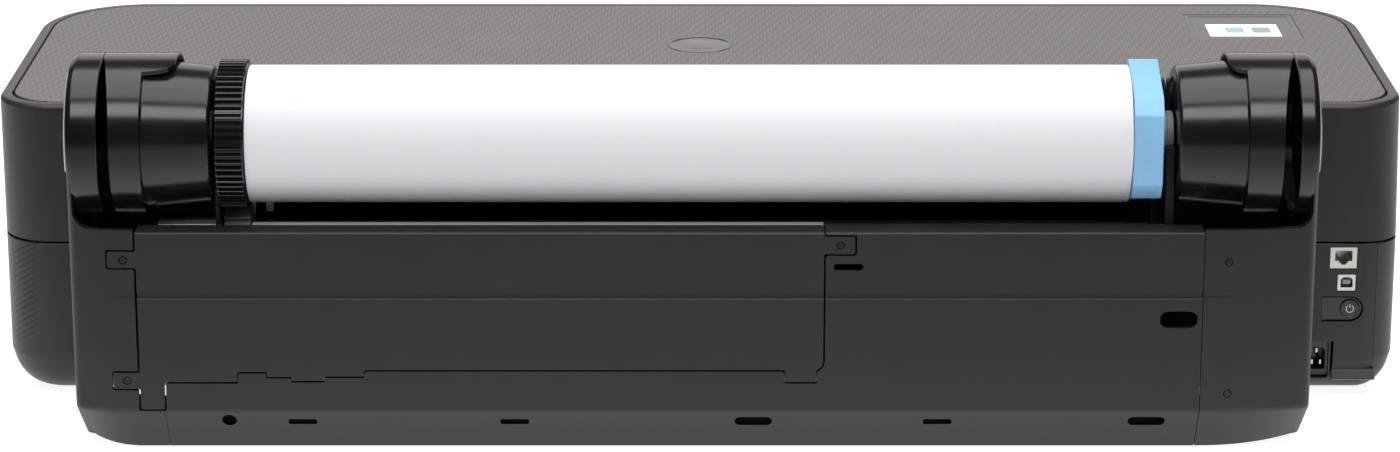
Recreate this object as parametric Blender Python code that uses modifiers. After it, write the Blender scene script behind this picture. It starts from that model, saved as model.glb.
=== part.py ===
"""Desktop large format plotter with its paper roll at the back, at rest with every cover closed.

Metres, +Z up, standing on Z = 0. The front, where the paper comes out, faces -Y, and the roll
module is at +Y. Left and right are as seen by a person at the front, so +X is right.
"""

import math
from dataclasses import dataclass

import bmesh
import bpy
from mathutils import Matrix

# ---- Driving dimensions ----------------------------------------------------------------------

FIT = 0.0003  # gap between pieces that touch
RUN = 0.0005  # gap around a piece that moves

PAPER_WIDTH = 0.6125  # one roll of paper, with its wound edges
SIDE_BAY = 0.20025  # casing beyond the paper, each side
BODY_DEPTH = 0.311
FRONT_Y = -0.220
BODY_TOP = 0.2230
SEAM_Z = 0.1198
SEAM_GAP = 0.0014
SHELL_WALL = 0.0030
FRONT_CORNER = 0.078
REAR_CORNER = 0.040
PORT_CORNER = 0.026  # the lower casing's rear corner beside the ports
FOOT_HEIGHT = 0.0026

LID_RIM = 0.0085
LID_GAP = 0.0014
LID_THICKNESS = 0.0040
LEDGE_DROP = 0.0006
LEDGE_WIDTH = 0.012
LEDGE_THICKNESS = 0.005
LID_CORNER_EASE = 0.0035  # the lid's rear corners are this much wider, to clear the rim as it opens
HINGE_PIN_RADIUS = 0.0009
HINGE_REACH = 0.0030  # hinge axis ahead of the lid's rear edge
HINGE_SINK = 0.0022  # hinge axis below the lid's top
HINGE_ROOM = 0.0052  # ledge below the hinge axis
HINGE_INSET = 0.19247  # each hinge from its side of the casing

PANEL_WIDTH = 0.084
PANEL_LENGTH = 0.077
PANEL_INSET = 0.0895  # panel's middle from the casing's -X side
PANEL_SETBACK = 0.0775  # panel's middle behind the casing's front
SCREEN_SHIFT = 0.0075  # screen's middle behind the panel's
SCREEN_WIDTH = 0.055
SCREEN_LENGTH = 0.040
BADGE_RADIUS = 0.0245
BADGE_ADVANCE = 0.176  # badge ahead of the casing's rear face
BADGE_SINK = 0.0010

MODULE_DEPTH = 0.127
MODULE_WALL = 0.0040
MODULE_TOP = 0.1655
MODULE_BOTTOM = 0.0012
BEND_Z = 0.0354
BEND_SETBACK = 0.0245
GROOVE_LOW = 0.1176
GROOVE_HIGH = 0.1219
GROOVE_DEPTH = 0.0018
PANEL_GAP = 0.0013
FLANGE_DEPTH = 0.019
FLAP_WIDTH = 0.0179  # the drive end cap's folded flap, inboard of its seam
CAP_WALL = 0.0034
CHEEK_DROP = 0.0138  # cheeks' top below the roll's axis

ROLL_RADIUS = 0.048
ROLL_AXIS_Z = 0.2215
ROLL_AXIS_SETBACK = 0.055  # roll axis ahead of the module's rear face
ROLL_OFFSET = 0.0077  # middle of the roll from the middle of the casing
CORE_OUTER = 0.0285
CORE_WALL = 0.0028
SHAFT_RADIUS = 0.0085
BUSH_RADIUS = 0.0160
HUB_RADIUS = 0.052
HUB_TEETH = 64
PINION_TEETH = 16
COVER_RADIUS = 0.057
BARREL_RADIUS = 0.048
COVER_WALL = 0.0026
HOOD_STEP = 0.0001  # hood's skin inside the ring's, on both faces

SLOT_HALF_EXTRA = 0.010  # paper slots beyond the paper, each side
SLOT_LOW = 0.060
SLOT_HIGH = 0.110
ENTRY_LOW = 0.136
ENTRY_HIGH = 0.152

DOOR_WIDTH = 0.092
DOOR_BOTTOM = 0.0340
DOOR_TOP = 0.112
DOOR_PIN_RADIUS = 0.0008
CARTRIDGE_COUNT = 4
CARTRIDGE_PITCH = 0.0215
CARTRIDGE_WIDTH = 0.0190
CARTRIDGE_LENGTH = 0.085
CARTRIDGE_HEIGHT = 0.062

PORT_LEFT = -0.0654  # port plate's inner edge from the casing's -X side
PORT_RIGHT = -0.0165
PORT_BOTTOM = 0.0215
BUTTON_X = 0.0347
BUTTON_Z = 0.0696
BUTTON_RADIUS = 0.0074
TONGUE_RADIUS = 0.0086
TONGUE_LENGTH = 0.0205
TONGUE_SLIT = 0.0010

FEED_RADIUS = 0.012
PINCH_RADIUS = 0.006
FEED_Y = 0.035
FEED_Z = 0.124
RAIL_Y = 0.046
RAIL_Z = 0.160
CARRIAGE_WIDTH = 0.110
CARRIAGE_REACH = 0.098  # carriage ahead of its rail
CARRIAGE_DROP = 0.017  # carriage below the lid's top
PLATEN_REACH = 0.105  # platen's front edge ahead of the feed roller
JOURNAL_RADIUS = 0.003
FEED_MOTOR_LENGTH = 0.039
FEED_MOTOR_WIDTH = 0.042
STATION_WIDTH = 0.080
STATION_DEPTH = 0.075
SUPPLY_WIDTH = 0.110
SUPPLY_DEPTH = 0.140
SUPPLY_HEIGHT = 0.048
BOARD_WIDTH = 0.130
BOARD_HEIGHT = 0.078
BOARD_THICKNESS = 0.0016
BOARD_SETBACK = 0.032  # board's front face ahead of the casing's rear
FOOT_WIDTH = 0.028
FOOT_INSET = 0.090
PULLEY_RADIUS = 0.009
BELT_Z = 0.192
BELT_Y = 0.064

# ---- Places worked out from them -------------------------------------------------------------

HALF_PAPER = PAPER_WIDTH / 2
HALF_WIDTH = HALF_PAPER + SIDE_BAY
BODY_REAR = FRONT_Y + BODY_DEPTH
MODULE_REAR = BODY_REAR + MODULE_DEPTH
MODULE_FRONT = BODY_REAR + FIT
ROLL_Y = MODULE_REAR - ROLL_AXIS_SETBACK
ROLL_RIGHT = ROLL_OFFSET + HALF_PAPER
ROLL_LEFT = ROLL_OFFSET - HALF_PAPER
SLOT_HALF = HALF_PAPER + SLOT_HALF_EXTRA
PANEL_X = -HALF_WIDTH + PANEL_INSET
PANEL_Y = FRONT_Y + PANEL_SETBACK
BADGE_Y = BODY_REAR - BADGE_ADVANCE
HINGE_Y = BODY_REAR - LID_RIM - LID_GAP - HINGE_REACH
HINGE_Z = BODY_TOP - HINGE_SINK
HINGE_X = HALF_WIDTH - HINGE_INSET
DOOR_RIGHT = HALF_WIDTH - FRONT_CORNER - 0.004
DOOR_LEFT = DOOR_RIGHT - DOOR_WIDTH
DOOR_PIN_Y = FRONT_Y + SHELL_WALL / 2
DOOR_PIN_Z = DOOR_BOTTOM + 0.001
HUB_MODULE = 2 * HUB_RADIUS / (HUB_TEETH + 2)
PINION_Z = ROLL_AXIS_Z - HUB_MODULE * (HUB_TEETH + PINION_TEETH) / 2
BELT_END = HALF_WIDTH - 0.062

ARC_STEPS = 6


@dataclass(frozen=True)
class ModuleEnd:
    """One end of the roll module, as distances outwards from the roll's edge."""

    side: int  # +1 at the drive end, -1 at the stop end
    hub: float
    cradle: float
    cradle_thickness: float
    barrel: float
    hood: float
    seam: float
    ring_inner: float
    ring_outer: float
    disc: float
    outside: float

    @property
    def roll_edge(self):
        return ROLL_OFFSET + self.side * HALF_PAPER

    def x(self, distance):
        return self.roll_edge + self.side * distance

    def span(self, near, far):
        return tuple(sorted((self.x(near), self.x(far))))


DRIVE_END = ModuleEnd(
    side=1,
    hub=0.0200,
    cradle=0.0205,
    cradle_thickness=0.0028,
    barrel=0.0237,
    hood=0.0488,
    seam=0.0778,
    ring_inner=0.0710,
    ring_outer=0.0920,
    disc=0.1005,
    outside=0.1237,
)
STOP_END = ModuleEnd(
    side=-1,
    hub=0.0208,
    cradle=0.0253,
    cradle_thickness=0.0057,
    barrel=0.0315,
    hood=0.0674,
    seam=0.0504,
    ring_inner=0.0789,
    ring_outer=0.1027,
    disc=0.1145,
    outside=0.1289,
)

FINISHES = {
    "lid_grey": ((0.20, 0.18, 0.175), 0.45, 0.0),
    "shell_black": ((0.022, 0.023, 0.025), 0.5, 0.0),
    "module_black": ((0.025, 0.026, 0.028), 0.55, 0.0),
    "gloss_black": ((0.010, 0.010, 0.011), 0.25, 0.0),
    "inner_black": ((0.012, 0.012, 0.013), 0.6, 0.0),
    "stop_blue": ((0.20, 0.45, 0.80), 0.4, 0.0),
    "paper_white": ((0.85, 0.85, 0.88), 0.7, 0.0),
    "card_brown": ((0.45, 0.33, 0.22), 0.8, 0.0),
    "steel": ((0.55, 0.55, 0.56), 0.35, 1.0),
    "rubber": ((0.02, 0.02, 0.02), 0.85, 0.0),
    "screen_white": ((0.80, 0.84, 0.88), 0.2, 0.0),
    "board_green": ((0.03, 0.16, 0.07), 0.5, 0.0),
    "part_grey": ((0.35, 0.36, 0.37), 0.5, 0.0),
}


# ---- Modelling helpers -----------------------------------------------------------------------


def clear_scene():
    for obj in list(bpy.data.objects):
        bpy.data.objects.remove(obj)


def new_collection(name):
    made = bpy.data.collections.new(name)
    bpy.context.scene.collection.children.link(made)
    return made


def finish_material(finish):
    made = bpy.data.materials.get(finish)
    if made:
        return made
    colour, roughness, metallic = FINISHES[finish]
    made = bpy.data.materials.new(finish)
    made.use_nodes = True
    shader = made.node_tree.nodes["Principled BSDF"]
    shader.inputs["Base Color"].default_value = (*colour, 1)
    shader.inputs["Roughness"].default_value = roughness
    shader.inputs["Metallic"].default_value = metallic
    return made


clear_scene()
PARTS = new_collection("large_format_plotter")
CUTTERS = new_collection("cutters")
CUTTERS.hide_render = True


def place(name, mesh, finish):
    """Puts a mesh in the scene as a part, or as a hidden cutter where it has no finish."""
    obj = bpy.data.objects.new(name, mesh)
    if finish is None:
        CUTTERS.objects.link(obj)
        obj.hide_render = True
        obj.display_type = "WIRE"
    else:
        PARTS.objects.link(obj)
        mesh.materials.append(finish_material(finish))
    return obj


def mesh_from(name, bm):
    bmesh.ops.recalc_face_normals(bm, faces=bm.faces)
    mesh = bpy.data.meshes.new(name)
    bm.to_mesh(mesh)
    bm.free()
    return mesh


def block(name, x, y, z, finish=None, bevel=0.0):
    """A box between two limits on each axis."""
    bm = bmesh.new()
    bmesh.ops.create_cube(bm, size=1)
    sizes = [high - low for low, high in (x, y, z)]
    middle = [(high + low) / 2 for low, high in (x, y, z)]
    bmesh.ops.scale(bm, vec=sizes, verts=bm.verts)
    bmesh.ops.translate(bm, vec=middle, verts=bm.verts)
    obj = place(name, mesh_from(name, bm), finish)
    if bevel:
        round_edges(obj, bevel)
    return obj


def round_edges(obj, width, segments=2):
    modifier = obj.modifiers.new("Bevel", "BEVEL")
    modifier.width = width
    modifier.segments = segments
    modifier.limit_method = "ANGLE"
    modifier.angle_limit = math.radians(40)


AXIS_TURNS = {
    "X": Matrix(((0, 0, 1), (1, 0, 0), (0, 1, 0))).to_4x4(),
    "Y": Matrix(((1, 0, 0), (0, 0, -1), (0, 1, 0))).to_4x4(),
    "Z": Matrix.Identity(4),
}
AXIS_SIGN = {"X": 1, "Y": -1, "Z": 1}


def rod(name, axis, centre, radius, span, finish=None, segments=32):
    """A cylinder along an axis; centre gives its two other coordinates in X, Y, Z order."""
    bm = bmesh.new()
    bmesh.ops.create_cone(
        bm, cap_ends=True, segments=segments, radius1=radius, radius2=radius, depth=span[1] - span[0]
    )
    middle = AXIS_SIGN[axis] * (span[0] + span[1]) / 2
    bmesh.ops.translate(bm, vec=(centre[0], centre[1], middle), verts=bm.verts)
    bmesh.ops.transform(bm, matrix=AXIS_TURNS[axis], verts=bm.verts)
    return place(name, mesh_from(name, bm), finish)


def realised(drawn, turn):
    """The welded mesh that a helper object makes; the helper itself is removed."""
    CUTTERS.objects.link(drawn)
    bpy.context.view_layer.update()
    graph = bpy.context.evaluated_depsgraph_get()
    mesh = bpy.data.meshes.new_from_object(drawn.evaluated_get(graph))
    bpy.data.objects.remove(drawn)
    bm = bmesh.new()
    bm.from_mesh(mesh)
    bpy.data.meshes.remove(mesh)
    bmesh.ops.remove_doubles(bm, verts=bm.verts, dist=1e-6)
    bmesh.ops.transform(bm, matrix=turn, verts=bm.verts)
    return bm


def plate(name, axis, outlines, span, finish=None):
    """A flat outline, with any holes as further outlines, drawn across an axis and extruded."""
    curve = bpy.data.curves.new(name, "CURVE")
    curve.dimensions = "2D"
    curve.fill_mode = "BOTH"
    curve.extrude = (span[1] - span[0]) / 2
    for outline in outlines:
        spline = curve.splines.new("POLY")
        spline.points.add(len(outline) - 1)
        for point, (across, up) in zip(spline.points, outline):
            point.co = (across, up, 0, 1)
        spline.use_cyclic_u = True
    lift = Matrix.Translation((0, 0, AXIS_SIGN[axis] * (span[0] + span[1]) / 2))
    bm = realised(bpy.data.objects.new(name + "_outline", curve), AXIS_TURNS[axis] @ lift)
    return place(name, mesh_from(name, bm), finish)


def stacked(name, rings, finish=None, closed_top=True):
    """A skin through rings of points, each ring drawn out from the one before it."""
    bm = bmesh.new()
    ring = [bm.verts.new(point) for point in rings[0]]
    edges = [bm.edges.new(pair) for pair in zip(ring, ring[1:] + ring[:1])]
    bm.faces.new(ring)
    for points in rings[1:]:
        made = bmesh.ops.extrude_edge_only(bm, edges=edges)["geom"]
        above = {tuple(v.co): v for v in made if isinstance(v, bmesh.types.BMVert)}
        ring = [above[tuple(v.co)] for v in ring]
        edges = [e for e in made if isinstance(e, bmesh.types.BMEdge)]
        edges = [e for e in edges if e.verts[0] in ring and e.verts[1] in ring]
        for vertex, point in zip(ring, points):
            vertex.co = point
    if closed_top:
        bm.faces.new(ring)
    return place(name, mesh_from(name, bm), finish)


def turned(name, profile, x, finish=None, steps=48):
    """A closed profile of (distance along X, radius) turned about the roll's axis."""
    mesh = bpy.data.meshes.new(name + "_profile")
    count = len(profile)
    pairs = [(i, (i + 1) % count) for i in range(count)]
    mesh.from_pydata([(radius, 0, along) for along, radius in profile], pairs, [])
    drawn = bpy.data.objects.new(name + "_profile", mesh)
    modifier = drawn.modifiers.new("Screw", "SCREW")
    modifier.steps = steps
    modifier.render_steps = steps
    modifier.use_merge_vertices = True
    modifier.merge_threshold = 0.00001
    lay = Matrix.Translation((x, ROLL_Y, ROLL_AXIS_Z)) @ Matrix.Rotation(math.radians(90), 4, "Y")
    return place(name, mesh_from(name, realised(drawn, lay)), finish)


def combine(target, operation, *others):
    for other in others:
        modifier = target.modifiers.new(operation.title(), "BOOLEAN")
        modifier.operation = operation
        modifier.solver = "EXACT"
        modifier.object = other
    return target


def cut(target, *others):
    return combine(target, "DIFFERENCE", *others)


def keep_inside(target, other):
    return combine(target, "INTERSECT", other)


def add_on(target, *others):
    return combine(target, "UNION", *others)


def hollow(obj, wall):
    modifier = obj.modifiers.new("Solidify", "SOLIDIFY")
    modifier.thickness = wall
    modifier.offset = -1
    modifier.use_even_offset = True
    return obj


def grown(outline, by):
    """The outline moved outwards by a distance, corner by corner."""
    count = len(outline)
    area = sum(
        outline[i][0] * outline[(i + 1) % count][1] - outline[(i + 1) % count][0] * outline[i][1]
        for i in range(count)
    )
    turn = 1 if area > 0 else -1
    moved = []
    for i, (x, y) in enumerate(outline):
        before, after = outline[i - 1], outline[(i + 1) % count]
        arriving = unit(x - before[0], y - before[1])
        leaving = unit(after[0] - x, after[1] - y)
        first = (turn * arriving[1], -turn * arriving[0])
        second = (turn * leaving[1], -turn * leaving[0])
        scale = by / (1 + first[0] * second[0] + first[1] * second[1])
        moved.append((x + scale * (first[0] + second[0]), y + scale * (first[1] + second[1])))
    return moved


def unit(x, y):
    size = math.hypot(x, y)
    return x / size, y / size


def arc(centre, radius, start, end, steps=ARC_STEPS):
    """Points on a circle from one angle to another, in degrees."""
    angles = [math.radians(start + (end - start) * i / steps) for i in range(steps + 1)]
    return [(centre[0] + radius * math.cos(a), centre[1] + radius * math.sin(a)) for a in angles]


def rounded_box(x, z, radius):
    """An outline with four round corners."""
    corners = (
        (x[1] - radius, z[1] - radius, 0),
        (x[0] + radius, z[1] - radius, 90),
        (x[0] + radius, z[0] + radius, 180),
        (x[1] - radius, z[0] + radius, 270),
    )
    points = []
    for across, up, start in corners:
        points += arc((across, up), radius, start, start + 90, 4)
    return points


def gear_outline(teeth, module, centre, fill, phase=0.0):
    """Straight-sided teeth; fill is the share of the pitch that a tooth takes at the pitch line."""
    pitch_radius = teeth * module / 2
    tip, root = pitch_radius + module * 0.92, pitch_radius - module * 1.2
    points = []
    for tooth in range(teeth):
        middle = 2 * math.pi * tooth / teeth + phase
        half = math.pi / teeth * fill
        for radius, share in ((root, -1.45), (tip, -0.5), (tip, 0.5), (root, 1.45)):
            angle = middle + half * share
            points.append((centre[0] + radius * math.cos(angle), centre[1] + radius * math.sin(angle)))
    return points


# ---- Casing ----------------------------------------------------------------------------------


def casing_ring(z, inset, port_corner=REAR_CORNER, ease=0.0):
    """The casing's plan at one height, pulled in by a distance all round, its rear corners eased wider."""
    rear = REAR_CORNER + ease
    port = port_corner + ease
    corners = (
        (HALF_WIDTH - rear, BODY_REAR - rear, rear, 0),
        (-HALF_WIDTH + port, BODY_REAR - port, port, 90),
        (-HALF_WIDTH + FRONT_CORNER, FRONT_Y + FRONT_CORNER, FRONT_CORNER, 180),
        (HALF_WIDTH - FRONT_CORNER, FRONT_Y + FRONT_CORNER, FRONT_CORNER, 270),
    )
    points = []
    for x, y, radius, start in corners:
        points += [(px, py, z) for px, py in arc((x, y), radius - inset, start, start + 90)]
    return points


BASE_BOTTOM = FOOT_HEIGHT + FIT
BASE_LEVELS = ((0.0, 0.0240), (0.0035, 0.0155), (0.0095, 0.0085), (0.0175, 0.0035), (0.0295, 0.0))


def base_skin(name, finish):
    rings = [casing_ring(BASE_BOTTOM + up, inset, PORT_CORNER) for up, inset in BASE_LEVELS]
    rings.append(casing_ring(SEAM_Z - SEAM_GAP / 2, 0, PORT_CORNER))
    return hollow(stacked(name, rings, finish, closed_top=False), SHELL_WALL)


def port_x(distance):
    """A place on the port plate, measured from the casing's -X side."""
    return -HALF_WIDTH + distance


PORT_SPAN = (-HALF_WIDTH - PORT_RIGHT, -HALF_WIDTH - PORT_LEFT)
INLET_SPAN = (port_x(0.0465), port_x(0.0654))
INLET_Z = (0.0140, 0.0450)
LAN_SPAN = (port_x(0.0310), port_x(0.0505))
LAN_Z = (0.1000, 0.1160)
USB_SPAN = (port_x(0.0312), port_x(0.0445))
USB_Z = (0.0830, 0.0955)


def wide(span, by):
    return (span[0] - by, span[1] + by)


def tongue_outline(extra, root_gap):
    """The push button's sprung tongue: straight from its root, then round."""
    centre = (port_x(BUTTON_X), BUTTON_Z)
    radius = TONGUE_RADIUS + extra
    root = centre[0] + TONGUE_LENGTH + root_gap
    return [(root, BUTTON_Z - radius), (root, BUTTON_Z + radius)] + arc(centre, radius, 90, 270, 10)


def make_base():
    base = base_skin("base_shell", "shell_black")
    through = (BODY_REAR - 0.030, BODY_REAR + 0.010)
    front = (FRONT_Y - 0.010, FRONT_Y + 0.010)
    cut(
        base,
        block("port_window", wide(PORT_SPAN, FIT), through, (PORT_BOTTOM - FIT, SEAM_Z + 0.01)),
        block("inlet_window", wide(INLET_SPAN, FIT), through, INLET_Z),
        block("output_slot", (-SLOT_HALF, SLOT_HALF), front, (SLOT_LOW, SLOT_HIGH)),
        block("door_window", (DOOR_LEFT, DOOR_RIGHT), front, (DOOR_BOTTOM - 0.001, DOOR_TOP)),
        rod("door_pin_holes", "X", (DOOR_PIN_Y, DOOR_PIN_Z), DOOR_PIN_RADIUS + FIT, wide((DOOR_LEFT, DOOR_RIGHT), 0.002)),
    )
    ports = base_skin("port_plate", "shell_black")
    keep_inside(ports, block("port_area", PORT_SPAN, through, (PORT_BOTTOM, SEAM_Z)))
    cut(
        ports,
        block("inlet_notch", wide(INLET_SPAN, 0.001), through, (PORT_BOTTOM - 0.01, INLET_Z[1])),
        block("lan_hole", wide(LAN_SPAN, FIT), through, wide(LAN_Z, FIT)),
        block("usb_hole", wide(USB_SPAN, FIT), through, wide(USB_Z, FIT)),
        plate("tongue_window", "Y", [tongue_outline(TONGUE_SLIT, FIT)], through),
    )
    front_y = (BODY_REAR - 0.0045, BODY_REAR - 0.0015)
    button = plate("power_button", "Y", [tongue_outline(0, 0)], front_y, "shell_black")
    cap_y = (front_y[0] + 0.001, front_y[1] + 0.0012)
    cap = rod("button_cap", "Y", (port_x(BUTTON_X), BUTTON_Z), BUTTON_RADIUS, cap_y)
    add_on(button, cap)


def make_door():
    door = base_skin("cartridge_door", "shell_black")
    area = block(
        "door_area",
        (DOOR_LEFT + RUN, DOOR_RIGHT - RUN),
        (FRONT_Y - 0.01, FRONT_Y + 0.01),
        (DOOR_BOTTOM, DOOR_TOP - RUN),
    )
    keep_inside(door, area)
    pin_span = (DOOR_LEFT - 0.0015, DOOR_RIGHT + 0.0015)
    pins = rod("door_pins", "X", (DOOR_PIN_Y, DOOR_PIN_Z), DOOR_PIN_RADIUS, pin_span, segments=16)
    add_on(door, pins)


def place_open(rings):
    """The upper casing's skin, open below and inside the rim."""
    upper = stacked("upper_shell", rings, "shell_black", closed_top=False)
    bm = bmesh.new()
    bm.from_mesh(upper.data)
    lowest = min(v.co.z for v in bm.verts)
    floor = [f for f in bm.faces if all(abs(v.co.z - lowest) < 1e-6 for v in f.verts)]
    bmesh.ops.delete(bm, geom=floor, context="FACES_ONLY")
    bm.to_mesh(upper.data)
    bm.free()
    return upper


def make_upper():
    rings = [casing_ring(SEAM_Z + SEAM_GAP / 2, 0, PORT_CORNER)]
    for drop, inset in ((0.0037, 0.0), (0.0018, 0.0010), (0.0006, 0.0032), (0.0001, LID_RIM)):
        rings.append(casing_ring(BODY_TOP - drop, inset))
    upper = place_open(rings)
    hollow(upper, SHELL_WALL)
    top = BODY_TOP - LID_THICKNESS - LEDGE_DROP
    low = top - LEDGE_THICKNESS
    inner = LID_RIM + LEDGE_WIDTH
    ledge = stacked("lid_ledge", [casing_ring(low, 0.002), casing_ring(top, 0.002)])
    cut(ledge, stacked("lid_opening", [casing_ring(low - 0.01, inner), casing_ring(top + 0.01, inner)]))
    add_on(upper, ledge)
    lid_corner = REAR_CORNER - LID_RIM - LID_GAP
    behind = HINGE_Y - BODY_REAR + REAR_CORNER
    swing_half = HALF_WIDTH - REAR_CORNER + math.sqrt(lid_corner**2 - behind**2) + 2 * RUN
    slot = (ROLL_OFFSET - SLOT_HALF, ROLL_OFFSET + SLOT_HALF)
    cut(
        upper,
        block(
            "hinge_sweep",
            (-swing_half, swing_half),
            (HINGE_Y - 0.005, BODY_REAR - LID_RIM - 0.0002),
            (HINGE_Z - HINGE_ROOM, BODY_TOP - SHELL_WALL - 0.0006),
        ),
        block("paper_entry", slot, (BODY_REAR - 0.01, BODY_REAR + 0.01), (ENTRY_LOW, ENTRY_HIGH)),
    )


# ---- Lid and control panel -------------------------------------------------------------------


def make_lid():
    inset = LID_RIM + LID_GAP
    low = BODY_TOP - LID_THICKNESS
    levels = ((low, inset), (BODY_TOP - 0.0006, inset), (BODY_TOP, inset + 0.0006))
    rings = [casing_ring(z, pulled, ease=LID_CORNER_EASE) for z, pulled in levels]
    lid = stacked("lid_panel", rings, "lid_grey")
    panel_x = (PANEL_X - PANEL_WIDTH / 2, PANEL_X + PANEL_WIDTH / 2)
    panel_y = (PANEL_Y - PANEL_LENGTH / 2, PANEL_Y + PANEL_LENGTH / 2)
    screen_x = (PANEL_X - SCREEN_WIDTH / 2, PANEL_X + SCREEN_WIDTH / 2)
    screen_middle = PANEL_Y + SCREEN_SHIFT
    screen_y = (screen_middle - SCREEN_LENGTH / 2, screen_middle + SCREEN_LENGTH / 2)
    through = (low - 0.004, BODY_TOP + 0.004)
    seat_z = (BODY_TOP - BADGE_SINK, through[1])
    cut(
        lid,
        block("panel_window", wide(panel_x, FIT), wide(panel_y, FIT), through),
        rod("badge_seat", "Z", (0, BADGE_Y), BADGE_RADIUS + FIT, seat_z, segments=48),
    )
    bezel = block("control_bezel", panel_x, panel_y, (low, BODY_TOP - FIT), "gloss_black")
    screen_floor = BODY_TOP - 0.0024
    cut(bezel, block("screen_recess", wide(screen_x, FIT), wide(screen_y, FIT), (screen_floor, through[1])))
    block("display_screen", screen_x, screen_y, (screen_floor + FIT, screen_floor + 0.0012), "screen_white")
    badge_z = (BODY_TOP - BADGE_SINK + FIT, BODY_TOP + FIT)
    rod("lid_badge", "Z", (0, BADGE_Y), BADGE_RADIUS, badge_z, "gloss_black", segments=48)
    for side, word in ((1, "right"), (-1, "left")):
        make_lid_hinge(lid, side * HINGE_X, word, low)


def make_lid_hinge(lid, x, word, low):
    """A fixed post with a pin that runs into the lid's rear edge on both sides of it."""
    post_half, pin_half = 0.003, 0.016
    rear = BODY_REAR - LID_RIM - 0.0014
    ledge_top = HINGE_Z - HINGE_ROOM
    post = block(
        "lid_hinge_" + word,
        (x - post_half, x + post_half),
        (HINGE_Y - 0.0016, rear),
        (ledge_top + FIT, BODY_TOP - 0.0005),
        "steel",
    )
    pin_span = (x - pin_half, x + pin_half)
    pin = rod("hinge_pin_" + word, "X", (HINGE_Y, HINGE_Z), HINGE_PIN_RADIUS, pin_span, segments=16)
    add_on(post, pin)
    notch = block(
        "hinge_notch_" + word,
        (x - post_half - RUN, x + post_half + RUN),
        (HINGE_Y - 0.0045, BODY_REAR),
        (low - 0.002, BODY_TOP + 0.002),
    )
    bore = rod(
        "hinge_bore_" + word,
        "X",
        (HINGE_Y, HINGE_Z),
        HINGE_PIN_RADIUS + 0.00025,
        (x - pin_half - RUN, x + pin_half + RUN),
        segments=16,
    )
    cut(lid, notch, bore)


# ---- Roll module -----------------------------------------------------------------------------

COVER_LENGTH = 0.4762
TAB_SCREWS = ((-0.0083, 0.1455), (-0.0086, 0.0576))
BRACKET_SCREW_Z = 0.1563
STOP_SCREWS = ((0.0172, 0.1440), (0.0193, 0.0480))
SCREW_RADIUS = 0.0026


def skin_profile():
    """The module's rear skin in (Y, Z): flange, upper face, groove, lower face and folded band."""
    rear, inner = MODULE_REAR, MODULE_REAR - MODULE_WALL
    low_y = rear - BEND_SETBACK
    return [
        (rear - FLANGE_DEPTH, MODULE_TOP),
        (rear - 0.0022, MODULE_TOP),
        (rear, MODULE_TOP - 0.0018),
        (rear, GROOVE_HIGH),
        (rear - GROOVE_DEPTH, GROOVE_HIGH - 0.0006),
        (rear - GROOVE_DEPTH, GROOVE_LOW + 0.0006),
        (rear, GROOVE_LOW),
        (rear, BEND_Z),
        (low_y, MODULE_BOTTOM),
        (low_y - MODULE_WALL, MODULE_BOTTOM),
        (inner, BEND_Z + 0.0012),
        (inner, MODULE_TOP - 0.003),
        (rear - FLANGE_DEPTH, MODULE_TOP - 0.003),
    ]


def cover_outline():
    """The access cover's outline on the rear face, from its top corner at the drive end."""
    left = DRIVE_END.x(DRIVE_END.seam) - PANEL_GAP
    right = left - COVER_LENGTH
    high = MODULE_TOP + 0.010
    line = 0.0656
    return [
        (left, high),
        (left, 0.1516),
        (left + 0.0198, 0.1516),
        (left + 0.0198, 0.1400),
        (left, 0.1400),
        (left, 0.0634),
        (left + 0.0185, 0.0634),
        (left + 0.0185, 0.0517),
        (left, 0.0517),
        (left, BEND_Z + 0.0012),
        (left - 0.0165, BEND_Z + 0.0012),
        (left - 0.0165, 0.0568),
        (left - 0.0675, 0.0568),
        (left - 0.0675, 0.0642),
        (left - 0.0890, 0.0642),
        (left - 0.0890, 0.0605),
        (left - 0.1065, 0.0605),
        (left - 0.1065, 0.0576),
        (left - 0.1275, 0.0576),
        (left - 0.1275, 0.0609),
        (left - 0.1555, 0.0609),
        (left - 0.1555, line),
        (right + 0.0261, line),
        (right + 0.0261, 0.0568),
        (right + 0.0051, 0.0568),
        (right + 0.0051, line),
        (right + 0.0030, line + 0.0006),
        (right + 0.0008, line + 0.0030),
        (right, line + 0.0060),
        (right, 0.1500),
        (right - 0.0215, 0.1500),
        (right - 0.0215, 0.1625),
        (right, 0.1625),
        (right, high),
    ]


def screw_places():
    left = DRIVE_END.x(DRIVE_END.seam) - PANEL_GAP
    stop_seam = STOP_END.x(STOP_END.seam)
    places = {
        "screw_tab_upper": (left + 0.0088, TAB_SCREWS[0][1]),
        "screw_tab_lower": (left + 0.0092, TAB_SCREWS[1][1]),
        "screw_bracket": (left - COVER_LENGTH - 0.0115, BRACKET_SCREW_Z),
    }
    for word, (distance, z) in zip(("upper", "lower"), STOP_SCREWS):
        places["screw_cap_" + word] = (stop_seam - distance, z)
    return places


def make_screws():
    """Pan-head screws sunk in their seats, each with a slot across its head."""
    holes = {}
    for name, (x, z) in screw_places().items():
        outer = MODULE_REAR - 0.0006
        screw = rod(name, "Y", (x, z), SCREW_RADIUS, (outer - 0.0010, outer), "steel", segments=20)
        add_on(screw, rod(name + "_stem", "Y", (x, z), 0.0013, (outer - 0.011, outer - 0.0005), segments=12))
        slot_y = (outer - 0.0005, outer + 0.002)
        slot = block(name + "_slot", (x - 0.0018, x + 0.0018), slot_y, (z - 0.0004, z + 0.0004))
        cut(screw, slot)
        seat_y = (outer - 0.0013, outer + 0.003)
        seat = rod(name + "_seat", "Y", (x, z), SCREW_RADIUS + FIT, seat_y, segments=20)
        hole = rod(name + "_hole", "Y", (x, z), 0.0013 + FIT, (outer - 0.012, outer), segments=12)
        holes[name] = (seat, hole)
    return holes


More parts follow.
